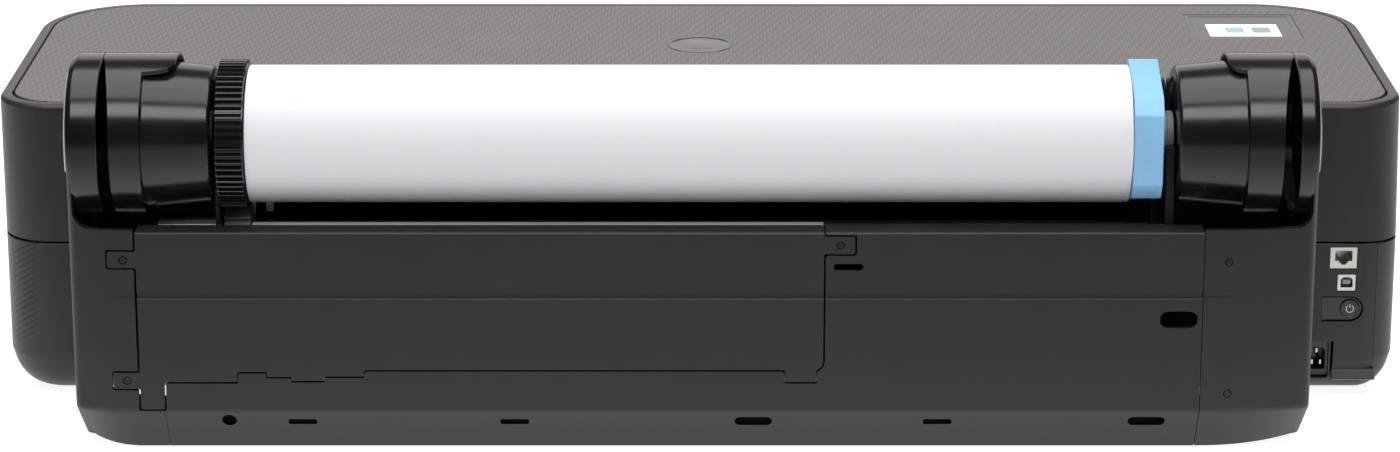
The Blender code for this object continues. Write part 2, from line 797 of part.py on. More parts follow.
def ring_rooms():
    """Clears what a cover's ring would reach."""
    centre, radius = (ROLL_Y, ROLL_AXIS_Z), COVER_RADIUS + FIT
    spans = [end.span(end.barrel, end.ring_outer) for end in (DRIVE_END, STOP_END)]
    return [rod("ring_room", "X", centre, radius, span, segments=48) for span in spans]


def make_rear_skin(holes):
    ends = (STOP_END.x(STOP_END.seam) + FIT, DRIVE_END.x(DRIVE_END.seam) - FIT)
    lower_end = DRIVE_END.x(DRIVE_END.seam) - FLAP_WIDTH
    panel = plate("rear_panel", "X", [skin_profile()], ends, "module_black")
    through = (MODULE_REAR - 0.06, MODULE_REAR + 0.01)
    seam_left = ends[0]
    cut(
        panel,
        plate("cover_area_wide", "Y", [grown(cover_outline(), PANEL_GAP)], through),
        block("band_end", (lower_end, ends[1] + 0.01), through, (-0.01, BEND_Z + 0.0010)),
        *ring_rooms(),
        *holes["screw_bracket"],
    )
    right_edge = DRIVE_END.x(DRIVE_END.seam) - PANEL_GAP - COVER_LENGTH
    openings = [rounded_box((right_edge - 0.0273, right_edge - 0.0067), (0.1380, 0.1430), 0.0024)]
    openings.append(rounded_box((seam_left + 0.0028, seam_left + 0.0293), (0.0960, 0.1085), 0.0060))
    for x in (lower_end - 0.1053, lower_end - 0.2539, seam_left + 0.1722):
        openings.append(rounded_box((x, x + 0.0200), (0.0225, 0.0275), 0.0012))
    for x in (seam_left + 0.0226, lower_end - 0.4243):
        openings.append(rounded_box((x, x + 0.0262), (0.0215, 0.0295), 0.0038))
    openings.append(arc((lower_end - 0.0440, 0.0265), 0.0052, 0, 345, 23))
    for i, outline in enumerate(openings):
        cut(panel, plate(f"panel_opening_{i}", "Y", [outline], through))
    cover = plate("access_cover", "X", [skin_profile()], (right_edge - 0.03, ends[1] + 0.03), "module_black")
    keep_inside(cover, plate("cover_area", "Y", [cover_outline()], through))
    cut(cover, *ring_rooms(), *holes["screw_tab_upper"], *holes["screw_tab_lower"], *holes["screw_bracket"])


def cap_ring(end, z, inner_x):
    """One level of an end cap's plan: its rear face curves forward towards its outer side."""
    fold = max(0.0, (BEND_Z - z) / (BEND_Z - MODULE_BOTTOM))
    rear = MODULE_REAR - BEND_SETBACK * fold
    sweep = 0.0085 + 0.0200 * fold
    outside = end.x(end.outside)
    corner = 0.006
    points = [(inner_x, MODULE_FRONT), (inner_x, rear)]
    run = (outside - end.side * corner) - inner_x
    for i in range(1, 6):
        share = i / 5
        points.append((inner_x + run * share, rear - (sweep - 0.0025) * share**2.2))
    points.append((outside - end.side * 0.0018, rear - sweep))
    points.append((outside, rear - sweep - 0.005))
    points.append((outside, MODULE_FRONT))
    return [(x, y, z) for x, y in points]


def make_end_cap(end, name, holes):
    seam = end.x(end.seam) + end.side * FIT
    levels = (MODULE_BOTTOM, BEND_Z * 0.35, BEND_Z * 0.7, BEND_Z, ROLL_AXIS_Z - CHEEK_DROP)
    cap = stacked(name, [cap_ring(end, z, seam) for z in levels], "module_black")
    inner_x = end.x(end.outside) - end.side * CAP_WALL
    beyond = seam - end.side * 0.02
    through = (MODULE_FRONT - 0.01, MODULE_REAR + 0.01)
    disc_span = end.span(end.disc - FIT, end.outside - CAP_WALL)
    all_x = tuple(sorted((beyond, end.x(end.outside) + end.side * 0.01)))
    cut(
        cap,
        cap_core(end, name + "_core", beyond, CAP_WALL),
        block(name + "_front_cut", all_x, (through[0], ROLL_Y - COVER_RADIUS + 0.002), (MODULE_TOP, 0.3)),
        plate(name + "_top_cut", "Y", [cap_top_outline(end, inner_x, beyond)], through),
        rod(name + "_disc_room", "X", (ROLL_Y, ROLL_AXIS_Z), COVER_RADIUS + FIT, disc_span, segments=48),
        crease(end, name, all_x),
    )
    if end is DRIVE_END:
        fold = [(MODULE_REAR, BEND_Z), (MODULE_REAR - BEND_SETBACK, MODULE_BOTTOM)]
        inner = [(y - MODULE_WALL, z) for y, z in reversed(fold)]
        add_on(cap, plate(name + "_fold", "X", [fold + inner], (seam - FLAP_WIDTH, seam + 0.004)))
        tab_y = (MODULE_REAR - 0.03, through[1])
        tabs = plate("tab_area_wide", "Y", [grown(cover_outline(), PANEL_GAP)], tab_y)
        cut(cap, tabs, *holes["screw_tab_upper"], *holes["screw_tab_lower"])
    else:
        cut(cap, *holes["screw_cap_upper"], *holes["screw_cap_lower"])


def crease(end, name, all_x):
    """The groove that runs on from the rear panel round the end cap."""
    rear = MODULE_REAR
    outline = [(rear + 0.002, GROOVE_HIGH), (rear + 0.002, GROOVE_LOW), (rear - 0.0008, GROOVE_LOW + 0.0012),
               (rear - 0.0008, GROOVE_HIGH - 0.0012)]
    return plate(name + "_crease", "X", [outline], all_x)


def cap_core(end, name, beyond, wall):
    """The hollow inside an end cap, open towards the roll and the casing."""
    outside = end.x(end.outside) - end.side * wall
    rings = []
    for z in (MODULE_BOTTOM + wall, BEND_Z, 0.3):
        fold = max(0.0, (BEND_Z - z) / (BEND_Z - MODULE_BOTTOM))
        rear = MODULE_REAR - BEND_SETBACK * fold - wall
        sweep = 0.0085 + 0.0200 * fold
        bend = end.x(end.seam) + (outside - end.x(end.seam)) * 0.55
        points = [(beyond, MODULE_FRONT - 0.01), (beyond, rear), (bend, rear - sweep * 0.25),
                  (outside, rear - sweep - 0.002), (outside, MODULE_FRONT - 0.01)]
        rings.append([(x, y, z) for x, y in points])
    return stacked(name, rings)


def cap_top_outline(end, inner_x, beyond):
    """What is cut away above an end cap's rear wall, leaving a fillet up to the side cheek."""
    radius = 0.012
    level = MODULE_TOP + 0.0015
    centre = (inner_x - end.side * radius, level + radius)
    turns = (270, 360) if end.side > 0 else (270, 180)
    return [(beyond, 0.3), (beyond, level)] + arc(centre, radius, *turns) + [(inner_x, 0.3)]


def make_side_cover(end, name):
    """A stepped barrel with a ring at its outer end and a hood over its top."""
    inner_x, step_x, outer_x = end.barrel, end.ring_inner, end.ring_outer
    length, step = outer_x - inner_x, step_x - inner_x
    shoulder = BARREL_RADIUS + 0.0040
    profile = [
        (length, COVER_RADIUS),
        (step, COVER_RADIUS),
        (step - 0.0012, shoulder),
        (0.0030, BARREL_RADIUS),
        (0.0, BARREL_RADIUS - 0.0030),
        (0.0, 0.0),
        (COVER_WALL, 0.0),
        (COVER_WALL, BARREL_RADIUS - 0.0040),
        (step + 0.0012, shoulder - COVER_WALL),
        (step + COVER_WALL, COVER_RADIUS - COVER_WALL),
        (length, COVER_RADIUS - COVER_WALL),
    ]
    cover = turned(name, outward(end, profile), end.x(inner_x), "gloss_black")
    hood = turned(name + "_hood", hood_profile(end), end.x(end.hood))
    keep_inside(
        hood,
        block(
            name + "_hood_area",
            end.span(end.hood - 0.001, end.ring_inner + 0.01),
            (ROLL_Y - 0.040, ROLL_Y + 0.024),
            (ROLL_AXIS_Z + 0.035, ROLL_AXIS_Z + COVER_RADIUS + 0.01),
        ),
    )
    add_on(cover, hood)


def hood_profile(end):
    length = end.ring_inner + 0.004 - end.hood
    outer, inner = COVER_RADIUS - HOOD_STEP, COVER_RADIUS - COVER_WALL + HOOD_STEP
    return outward(end, [(length, outer), (0.0, outer), (0.0, inner), (length, inner)])


def outward(end, profile):
    """A profile given as distances outwards, turned into distances along X."""
    return [(end.side * distance, radius) for distance, radius in profile]


def make_disc_cover(end, name):
    """The outer cover: a shallow cup with a soft outer edge, standing beside the slot."""
    depth = end.outside - end.disc
    soft = 0.006
    profile = [
        (depth, 0.0),
        (depth, COVER_RADIUS - soft),
        (depth - 0.0018, COVER_RADIUS - soft * 0.3),
        (depth - soft, COVER_RADIUS),
        (0.0, COVER_RADIUS),
        (0.0, COVER_RADIUS - COVER_WALL),
        (depth - soft, COVER_RADIUS - COVER_WALL),
        (depth - COVER_WALL, COVER_RADIUS - soft - COVER_WALL * 0.6),
        (depth - COVER_WALL, 0.0),
    ]
    disc = turned(name, outward(end, profile), end.x(end.disc), "gloss_black")
    side_cut = end.span(end.outside - CAP_WALL - FIT, end.outside + 0.01)
    below = (ROLL_AXIS_Z - COVER_RADIUS - 0.01, ROLL_AXIS_Z - CHEEK_DROP + FIT)
    cut(disc, block(name + "_cheek_cut", side_cut, wide((ROLL_Y, ROLL_Y), COVER_RADIUS + 0.01), below))


def make_cradle(end, name):
    """A side plate with an open cup for the spindle's bush: low behind, tall in front."""
    cup = BUSH_RADIUS + FIT
    rear_lip, front_lip = ROLL_AXIS_Z - 0.004, ROLL_AXIS_Z + 0.0340
    low = MODULE_BOTTOM + 0.004
    front, rear = MODULE_FRONT + 0.006, MODULE_REAR - MODULE_WALL - 0.022
    outline = [(front, low), (rear, low), (rear, MODULE_TOP - 0.0155)]
    outline += [(ROLL_Y + cup + 0.008, rear_lip), (ROLL_Y + cup, rear_lip)]
    outline += arc((ROLL_Y, ROLL_AXIS_Z), cup, -14, -180, 10)
    outline += [(ROLL_Y - cup, front_lip), (ROLL_Y - cup - 0.010, front_lip), (front, ROLL_AXIS_Z - 0.01)]
    span = end.span(end.cradle, end.cradle + end.cradle_thickness)
    plate(name, "X", [outline], span, "inner_black")


def make_module(holes):
    make_rear_skin(holes)
    for end, word in ((DRIVE_END, "right"), (STOP_END, "left")):
        make_end_cap(end, "end_cap_" + word, holes)
        make_side_cover(end, "side_cover_" + word)
        make_disc_cover(end, "disc_cover_" + word)
        make_cradle(end, "cradle_" + word)
    deck_x = (STOP_END.x(STOP_END.cradle - 0.001), ROLL_RIGHT - 0.003)
    rear = MODULE_REAR - FLANGE_DEPTH - FIT
    deck = [
        (rear, MODULE_TOP),
        (rear, MODULE_TOP - 0.003),
        (rear - 0.018, MODULE_TOP - 0.014),
        (MODULE_FRONT + 0.012, 0.1330),
        (MODULE_FRONT, 0.1330),
        (MODULE_FRONT, 0.1355),
        (MODULE_FRONT + 0.011, 0.1355),
        (rear - 0.016, MODULE_TOP - 0.0115),
        (rear - 0.003, MODULE_TOP),
    ]
    plate("roll_deck", "X", [deck], deck_x, "inner_black")


# ---- Spindle and roll ------------------------------------------------------------------------


def tube_outlines(outer, inner, steps=48):
    centre = (ROLL_Y, ROLL_AXIS_Z)
    step = 360 / steps
    return [arc(centre, outer, 0, 360 - step, steps - 1), arc(centre, inner, 0, 360 - step, steps - 1)]


def stop_outline():
    """The stop hub: five flats, with a round land between each two."""
    points = []
    land = 16
    for side in range(5):
        middle = 36 + 72 * side
        points += arc((ROLL_Y, ROLL_AXIS_Z), HUB_RADIUS, middle - land / 2, middle + land / 2, 3)
    return points


def make_spindle():
    centre = (ROLL_Y, ROLL_AXIS_Z)
    shaft_span = (STOP_END.x(STOP_END.barrel - 0.0006), DRIVE_END.x(DRIVE_END.barrel - 0.0006))
    rod("spindle_shaft", "X", centre, SHAFT_RADIUS, shaft_span, "inner_black")
    bore = tube_outlines(HUB_RADIUS, SHAFT_RADIUS + FIT, 32)[1]
    for end, word in ((DRIVE_END, "right"), (STOP_END, "left")):
        near = end.hub + FIT
        bush = tube_outlines(BUSH_RADIUS, SHAFT_RADIUS + FIT, 32)
        plate("bush_" + word, "X", bush, end.span(near, end.cradle + end.cradle_thickness), "part_grey")
    teeth = gear_outline(HUB_TEETH, HUB_MODULE, centre, 0.46, phase=math.pi / HUB_TEETH - math.pi / 2)
    spigot = CORE_OUTER - CORE_WALL - FIT
    for end, name, outline, finish in (
        (DRIVE_END, "drive_hub", teeth, "gloss_black"),
        (STOP_END, "stop_hub", stop_outline(), "stop_blue"),
    ):
        hub = plate(name, "X", [outline, bore], end.span(FIT, end.hub), finish)
        spigot_span = end.span(-0.022, FIT * 2)
        add_on(hub, plate(name + "_spigot", "X", tube_outlines(spigot, SHAFT_RADIUS + FIT, 32), spigot_span))
    roll_span = (ROLL_LEFT, ROLL_RIGHT)
    plate("roll_core", "X", tube_outlines(CORE_OUTER, CORE_OUTER - CORE_WALL), roll_span, "card_brown")
    plate("paper_roll", "X", tube_outlines(ROLL_RADIUS, CORE_OUTER + FIT, 64), roll_span, "paper_white")


def make_roll_drive():
    """A pinion under the drive hub, on the shaft of a motor that stands inside the end cap."""
    centre = (ROLL_Y, PINION_Z)
    teeth = gear_outline(PINION_TEETH, HUB_MODULE, centre, 0.40, phase=math.pi / 2)
    span = DRIVE_END.span(0.001, DRIVE_END.hub - 0.001)
    shaft = 0.003
    step = 360 / 16
    bore = arc(centre, shaft + FIT, 0, 360 - step, 15)
    plate("drive_pinion", "X", [teeth, bore], span, "part_grey")
    body = DRIVE_END.span(DRIVE_END.cradle + DRIVE_END.cradle_thickness + FIT, 0.066)
    motor = rod("drive_motor", "X", (ROLL_Y, PINION_Z - 0.012), 0.018, body, "steel")
    add_on(motor, rod("motor_shaft", "X", centre, shaft, (span[0] + 0.001, body[0] + 0.002), segments=16))
    cradle = bpy.data.objects["cradle_right"]
    cut(cradle, rod("motor_shaft_hole", "X", centre, shaft + RUN, (span[1], body[0] + 0.001), segments=16))
    cover = bpy.data.objects["side_cover_right"]
    cut(cover, rod("motor_clearance", "X", (ROLL_Y, PINION_Z - 0.012), 0.0185, wide(body, 0.001)))


# ---- Inside the casing -----------------------------------------------------------------------


def make_paper_path():
    half = HALF_PAPER + 0.006
    platen_y = (FEED_Y - PLATEN_REACH, FEED_Y - FEED_RADIUS - 0.004)
    block("platen", (-half, half), platen_y, (FEED_Z + 0.004, FEED_Z + 0.011), "inner_black")
    ramp = [
        (FRONT_Y + SHELL_WALL + FIT, SLOT_LOW - 0.004),
        (FRONT_Y + SHELL_WALL + FIT, SLOT_LOW - 0.001),
        (platen_y[0] - 0.030, FEED_Z - 0.026),
        (platen_y[0] - 0.001, FEED_Z + 0.003),
        (platen_y[0] - 0.001, FEED_Z - 0.002),
        (platen_y[0] - 0.028, FEED_Z - 0.032),
    ]
    plate("output_ramp", "X", [ramp], (-half, half), "inner_black")
    for name, radius, z, finish in (
        ("feed_roller", FEED_RADIUS, FEED_Z, "rubber"),
        ("pinch_roller", PINCH_RADIUS, FEED_Z + FEED_RADIUS + PINCH_RADIUS + 0.0004, "rubber"),
    ):
        roller = rod(name, "X", (FEED_Y, z), radius, (-half, half), finish, segments=24)
        journals = rod(name + "_ends", "X", (FEED_Y, z), JOURNAL_RADIUS, wide((-half, half), 0.012), segments=16)
        add_on(roller, journals)
    motor_x = (-half - 0.013 - FEED_MOTOR_LENGTH, -half - 0.013)
    motor_y = (FEED_Y - FEED_MOTOR_WIDTH / 2, FEED_Y + FEED_MOTOR_WIDTH / 2)
    block("feed_motor", motor_x, motor_y, (FEED_Z - 0.030, FEED_Z + 0.004), "steel", bevel=0.003)


def make_carriage():
    rail_half = HALF_WIDTH - 0.040
    rail_y = (RAIL_Y - 0.006, RAIL_Y + 0.006)
    rail_z = (RAIL_Z - 0.006, RAIL_Z + 0.006)
    block("carriage_rail", (-rail_half, rail_half), rail_y, rail_z, "steel", bevel=0.001)
    width = (-CARRIAGE_WIDTH / 2, CARRIAGE_WIDTH / 2)
    body_y = (RAIL_Y - CARRIAGE_REACH, RAIL_Y + 0.011)
    body_z = (FEED_Z + 0.020, BODY_TOP - CARRIAGE_DROP)
    carriage = block("carriage", width, body_y, body_z, "inner_black", bevel=0.004)
    cut(
        carriage,
        block("rail_slot", wide(width, 0.01), wide(rail_y, RUN), wide(rail_z, RUN)),
        block("roller_clearance", wide(width, 0.01), (FEED_Y - 0.012, 0.1), (0.0, RAIL_Z - 0.011)),
    )
    belt_y = (BELT_Y - 0.0030, BELT_Y + 0.0030)
    track = PULLEY_RADIUS + 0.0002
    outlines = []
    for radius in (track + 0.0013, track):
        right = arc((BELT_END, BELT_Z), radius, -90, 90, 10)
        left = arc((-BELT_END, BELT_Z), radius, 90, 270, 10)
        outlines.append(right + left)
    plate("drive_belt", "Y", outlines, belt_y, "rubber")
    for name, x in (("motor_pulley", BELT_END), ("idler_pulley", -BELT_END)):
        step = 360 / 24
        rim = arc((x, BELT_Z), PULLEY_RADIUS, 0, 360 - step, 23)
        bore = arc((x, BELT_Z), 0.0023, 0, 330, 11)
        plate(name, "Y", [rim, bore], (belt_y[0] - 0.0005, belt_y[1] + 0.0005), "part_grey")
    motor = rod("carriage_motor", "Y", (BELT_END, BELT_Z), 0.0170, (BELT_Y - 0.050, BELT_Y - 0.009), "steel")
    spindle_y = (BELT_Y - 0.010, BELT_Y + 0.0035)
    add_on(motor, rod("motor_spindle", "Y", (BELT_END, BELT_Z), 0.0020, spindle_y, segments=12))


def make_ink_bay():
    first = DOOR_LEFT + 0.005
    front = FRONT_Y + SHELL_WALL + 0.006
    low = DOOR_BOTTOM + 0.006
    wall = 0.002
    total = CARTRIDGE_PITCH * (CARTRIDGE_COUNT - 1) + CARTRIDGE_WIDTH
    deep = (front + 0.004, front + CARTRIDGE_LENGTH + 0.008)
    bay = block(
        "ink_bay",
        (first - RUN - wall, first + total + RUN + wall),
        deep,
        (low - RUN - wall, low + CARTRIDGE_HEIGHT + RUN + wall),
        "part_grey",
    )
    for i in range(CARTRIDGE_COUNT):
        x = (first + i * CARTRIDGE_PITCH, first + i * CARTRIDGE_PITCH + CARTRIDGE_WIDTH)
        z = (low, low + CARTRIDGE_HEIGHT)
        block(f"cartridge_{i + 1}", x, (front, front + CARTRIDGE_LENGTH), z, "inner_black", bevel=0.0012)
        cut(bay, block(f"bay_{i + 1}", wide(x, RUN), (front - 0.01, deep[1] - 0.003), wide(z, RUN)))


def make_electrics():
    face = BODY_REAR - 0.0012
    board_y = (BODY_REAR - BOARD_SETBACK, BODY_REAR - BOARD_SETBACK + BOARD_THICKNESS)
    board_x = (port_x(0.0200), port_x(0.0200 + BOARD_WIDTH))
    block("main_board", board_x, board_y, (0.0400, 0.0400 + BOARD_HEIGHT), "board_green")
    back = board_y[1] + FIT
    lan = block("lan_socket", LAN_SPAN, (back, face), LAN_Z, "steel")
    lan_z = (LAN_Z[0] + 0.0030, LAN_Z[1] - 0.0025)
    cut(lan, block("lan_cavity", wide(LAN_SPAN, -0.0035), (face - 0.014, face + 0.01), lan_z))
    usb = block("usb_socket", USB_SPAN, (back, face), USB_Z, "steel")
    usb_z = (USB_Z[0] + 0.0026, USB_Z[1] - 0.0022)
    cut(usb, block("usb_cavity", wide(USB_SPAN, -0.0024), (face - 0.010, face + 0.01), usb_z))
    inlet_y = (BODY_REAR - 0.030, BODY_REAR - 0.009)
    inlet_z = (INLET_Z[0] + 0.0005, INLET_Z[1] - 0.0015)
    inlet = block("power_inlet", wide(INLET_SPAN, -0.001), inlet_y, inlet_z, "inner_black")
    middle = (INLET_SPAN[0] + INLET_SPAN[1]) / 2
    cavity_z = (INLET_Z[0] + 0.0070, INLET_Z[1] - 0.0075)
    cavity_y = (inlet_y[1] - 0.014, inlet_y[1] + 0.01)
    cut(inlet, block("inlet_cavity", (middle - 0.0058, middle + 0.0058), cavity_y, cavity_z))
    supply_y = (inlet_y[0] - 0.031 - SUPPLY_DEPTH, inlet_y[0] - 0.031)
    supply_z = (0.0120, 0.0120 + SUPPLY_HEIGHT)
    supply_x = (port_x(0.045), port_x(0.045 + SUPPLY_WIDTH))
    block("power_supply", supply_x, supply_y, supply_z, "part_grey", bevel=0.002)
    bay_x = (HALF_PAPER + 0.030, HALF_PAPER + 0.030 + STATION_WIDTH)
    bay_y = (FEED_Y - 0.020 - STATION_DEPTH, FEED_Y - 0.020)
    block("service_station", bay_x, bay_y, (FEED_Z - 0.034, FEED_Z + 0.012), "inner_black", bevel=0.003)


def make_feet():
    for side, word in ((1, "right"), (-1, "left")):
        x = side * (HALF_WIDTH - FOOT_INSET)
        foot_x = (x - FOOT_WIDTH / 2, x + FOOT_WIDTH / 2)
        block("foot_" + word, foot_x, (FRONT_Y + 0.060, BODY_REAR - 0.032), (0, FOOT_HEIGHT), "rubber")


def main():
    holes = make_screws()
    make_base()
    make_door()
    make_upper()
    make_lid()
    make_module(holes)
    make_spindle()
    make_roll_drive()
    make_paper_path()
    make_carriage()
    make_ink_bay()
    make_electrics()
    make_feet()


main()
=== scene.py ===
"""Looks of a desktop large format plotter: casings, lid, roll module, spindle, ports and works.

Metres, +Z up. The front, where the paper comes out, faces -Y and the roll module is at +Y. Left and
right are as seen by a person at the front, so +X is right: the drive end is at +X, the stop end at -X.
"""

import logging
import math
from dataclasses import dataclass
from enum import Enum

import bmesh
import bpy
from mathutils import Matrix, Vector


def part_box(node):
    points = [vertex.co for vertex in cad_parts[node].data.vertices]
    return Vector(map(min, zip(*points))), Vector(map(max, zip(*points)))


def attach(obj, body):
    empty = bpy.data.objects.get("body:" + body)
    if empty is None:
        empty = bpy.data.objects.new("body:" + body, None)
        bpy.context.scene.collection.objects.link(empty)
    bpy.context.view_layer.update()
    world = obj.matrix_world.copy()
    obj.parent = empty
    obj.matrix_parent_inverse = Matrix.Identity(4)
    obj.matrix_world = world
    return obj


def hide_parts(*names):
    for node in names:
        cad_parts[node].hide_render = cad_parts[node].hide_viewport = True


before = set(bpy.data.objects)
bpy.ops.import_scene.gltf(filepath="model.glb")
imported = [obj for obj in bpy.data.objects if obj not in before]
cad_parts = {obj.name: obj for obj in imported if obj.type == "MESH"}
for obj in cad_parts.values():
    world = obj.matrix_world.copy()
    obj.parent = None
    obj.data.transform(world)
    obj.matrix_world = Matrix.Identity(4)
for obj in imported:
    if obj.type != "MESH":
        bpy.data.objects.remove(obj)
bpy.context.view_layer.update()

LOG = logging.getLogger("plotter")

Point2 = tuple[float, float]
Point3 = tuple[float, float, float]
Span = tuple[float, float]
Colour = tuple[float, float, float]


# ---- Shader effects and finishes ---------------------------------------------------------------


class ShaderTree:
    """A node tree with a short call for adding a node and wiring it up."""

    def __init__(self, tree: bpy.types.NodeTree) -> None:
        """Args: tree: the node tree that the calls work on."""
        self.tree = tree

    def add(
        self, kind: str, inputs: dict[str | int, object] | None = None, **settings: object
    ) -> bpy.types.Node:
        """Adds one node.

        Args:
            kind: the node type's own name.
            inputs: sockets by name or number, each with a value or with the output that feeds it.
            settings: the node's own properties.

        Returns:
            The node.
        """
        node = self.tree.nodes.new(kind)
        for key, value in settings.items():
            setattr(node, key, value)
        for key, value in (inputs or {}).items():
            if isinstance(value, bpy.types.NodeSocket):
                self.tree.links.new(value, node.inputs[key])
            else:
                node.inputs[key].default_value = value
        return node

    def maths(
        self, operation: str, first: object, second: object = 0.0, clamp: bool = False
    ) -> bpy.types.NodeSocket:
        """Does arithmetic on two numbers or sockets and returns the result's socket."""
        node = self.add("ShaderNodeMath", {0: first, 1: second}, operation=operation, use_clamp=clamp)
        return node.outputs[0]

    def plus(self, first: object, second: object, clamp: bool = False) -> bpy.types.NodeSocket:
        """Adds two numbers or sockets and returns the result's socket."""
        return self.maths("ADD", first, second, clamp)

    def times(self, first: object, second: object, clamp: bool = False) -> bpy.types.NodeSocket:
        """Multiplies two numbers or sockets and returns the result's socket."""
        return self.maths("MULTIPLY", first, second, clamp)

    def spread(self, value: bpy.types.NodeSocket, low: float, high: float) -> bpy.types.NodeSocket:
        """Maps low..high to 0..1 with soft ends and returns the result's socket."""
        inputs = {"Value": value, "From Min": low, "From Max": high}
        return self.add("ShaderNodeMapRange", inputs, interpolation_type="SMOOTHSTEP").outputs["Result"]

    def noise(self, place: object, scale: object, detail: float = 2.0) -> bpy.types.NodeSocket:
        """Adds a noise texture and returns its grey value."""
        inputs = {"Vector": place, "Scale": scale, "Detail": detail, "Roughness": 0.55}
        return self.add("ShaderNodeTexNoise", inputs).outputs["Fac"]

    def blend(self, share: object, first: object, second: object) -> bpy.types.NodeSocket:
        """Mixes two colours and returns the result's socket.

        Args:
            share: how much of the second, from 0 to 1.
            first: a colour or a socket.
            second: a colour or a socket.

        Returns:
            The socket.
        """
        first, second = ((*c, 1.0) if isinstance(c, tuple) and len(c) == 3 else c for c in (first, second))
        node = self.add("ShaderNodeMix", {0: share, 6: first, 7: second}, data_type="RGBA")
        return node.outputs[2]


def shade(colour: Colour, by: float) -> Colour:
    """Returns the colour made lighter or darker by a factor."""
    return tuple(c * by for c in colour)


class SurfaceEffect:
    """A node group that several finishes place, built the first time that one asks for it."""

    title = ""
    takes: dict[str, tuple[str, object]] = {}
    gives: dict[str, str] = {}

    @classmethod
    def group(cls) -> bpy.types.NodeTree:
        """Returns the group, with its named inputs and outputs.

        Returns:
            The group, built by the first call.
        """
        ready = bpy.data.node_groups.get(cls.title)
        if ready:
            return ready
        tree = bpy.data.node_groups.new(cls.title, "ShaderNodeTree")
        for label, (kind, value) in cls.takes.items():
            socket = tree.interface.new_socket(label, in_out="INPUT", socket_type=kind)
            if value is not None:
                socket.default_value = value
        for label, kind in cls.gives.items():
            tree.interface.new_socket(label, in_out="OUTPUT", socket_type=kind)
        shader = ShaderTree(tree)
        source = shader.add("NodeGroupInput").outputs
        shader.add("NodeGroupOutput", cls.wire(shader, source))
        return tree

    @classmethod
    def wire(cls, shader: ShaderTree, source: bpy.types.bpy_prop_collection) -> dict[str, object]:
        """Builds the group's inside.

        Args:
            shader: the group's tree.
            source: the group's own inputs, by name.

        Returns:
            The socket that feeds each output.
        """
        raise NotImplementedError

    @classmethod
    def place(cls, shader: ShaderTree, inputs: dict[str, object]) -> bpy.types.bpy_prop_collection:
        """Puts the group in a material and returns its outputs.

        Args:
            shader: the material's tree.
            inputs: a value or a socket for each input, by name.

        Returns:
            The group's outputs.
        """
        node = shader.add("ShaderNodeGroup", node_tree=cls.group())
        for key, value in inputs.items():
            if isinstance(value, bpy.types.NodeSocket):
                shader.tree.links.new(value, node.inputs[key])
            else:
                node.inputs[key].default_value = value
        return node.outputs


class SparkGrain(SurfaceEffect):
    """The fine, even grain that an eroded mould leaves, with a slow cloudiness of tone."""

    title = "Spark grain"
    takes = {"Place": ("NodeSocketVector", None), "Scale": ("NodeSocketFloat", 900.0)}
    gives = {"Height": "NodeSocketFloat", "Tone": "NodeSocketFloat"}

    @classmethod
    def wire(cls, shader: ShaderTree, source: bpy.types.bpy_prop_collection) -> dict[str, object]:
        """Builds the group's inside: see SurfaceEffect.wire."""
        fine = shader.noise(source["Place"], source["Scale"], 3.0)
        cloud = shader.noise(source["Place"], shader.times(source["Scale"], 0.02), 4.0)
        speck = shader.times(fine, 0.5)
        tone = shader.plus(speck, shader.times(cloud, 0.5))
        return {"Height": fine, "Tone": tone}


class DrawnLines(SurfaceEffect):
    """Fine streaks along one way, as on brushed metal or on plastic from a brushed mould."""

    title = "Drawn lines"
    takes = {
        "Place": ("NodeSocketVector", None),
        "Squeeze": ("NodeSocketVector", (1.0, 1.0, 0.02)),
        "Scale": ("NodeSocketFloat", 1500.0),
    }
    gives = {"Height": "NodeSocketFloat", "Tone": "NodeSocketFloat"}

    @classmethod
    def wire(cls, shader: ShaderTree, source: bpy.types.bpy_prop_collection) -> dict[str, object]:
        """Builds the group's inside: see SurfaceEffect.wire."""
        drawn = shader.add(
            "ShaderNodeVectorMath", {0: source["Place"], 1: source["Squeeze"]}, operation="MULTIPLY"
        )
        fine = shader.noise(drawn.outputs[0], source["Scale"], 2.0)
        broad = shader.noise(drawn.outputs[0], shader.times(source["Scale"], 0.15), 2.0)
        return {"Height": fine, "Tone": shader.times(shader.plus(fine, broad), 0.5)}


class WornAndHighlitEdges(SurfaceEffect):
    """A mask that is high on outer edges, where handling polishes and lightens the material; the finishes
    also use it to paint a highlight along the edges.
    """

    title = "Worn and highlit edges"
    takes = {"Place": ("NodeSocketVector", None), "Width": ("NodeSocketFloat", 0.0006)}
    gives = {"Mask": "NodeSocketFloat"}

    @classmethod
    def wire(cls, shader: ShaderTree, source: bpy.types.bpy_prop_collection) -> dict[str, object]:
        """Builds the group's inside: see SurfaceEffect.wire."""
        soft = shader.add("ShaderNodeBevel", {"Radius": source["Width"]}, samples=4).outputs["Normal"]
        true = shader.add("ShaderNodeNewGeometry").outputs["Normal"]
        turned = shader.add(
            "ShaderNodeVectorMath", {0: soft, 1: true}, operation="DOT_PRODUCT"
        ).outputs["Value"]
        away = shader.spread(shader.maths("SUBTRACT", 1.0, turned), 0.01, 0.18)
        broken = shader.spread(shader.noise(source["Place"], 260.0, 3.0), 0.3, 0.7)
        return {"Mask": shader.times(away, shader.plus(0.35, broken), True)}


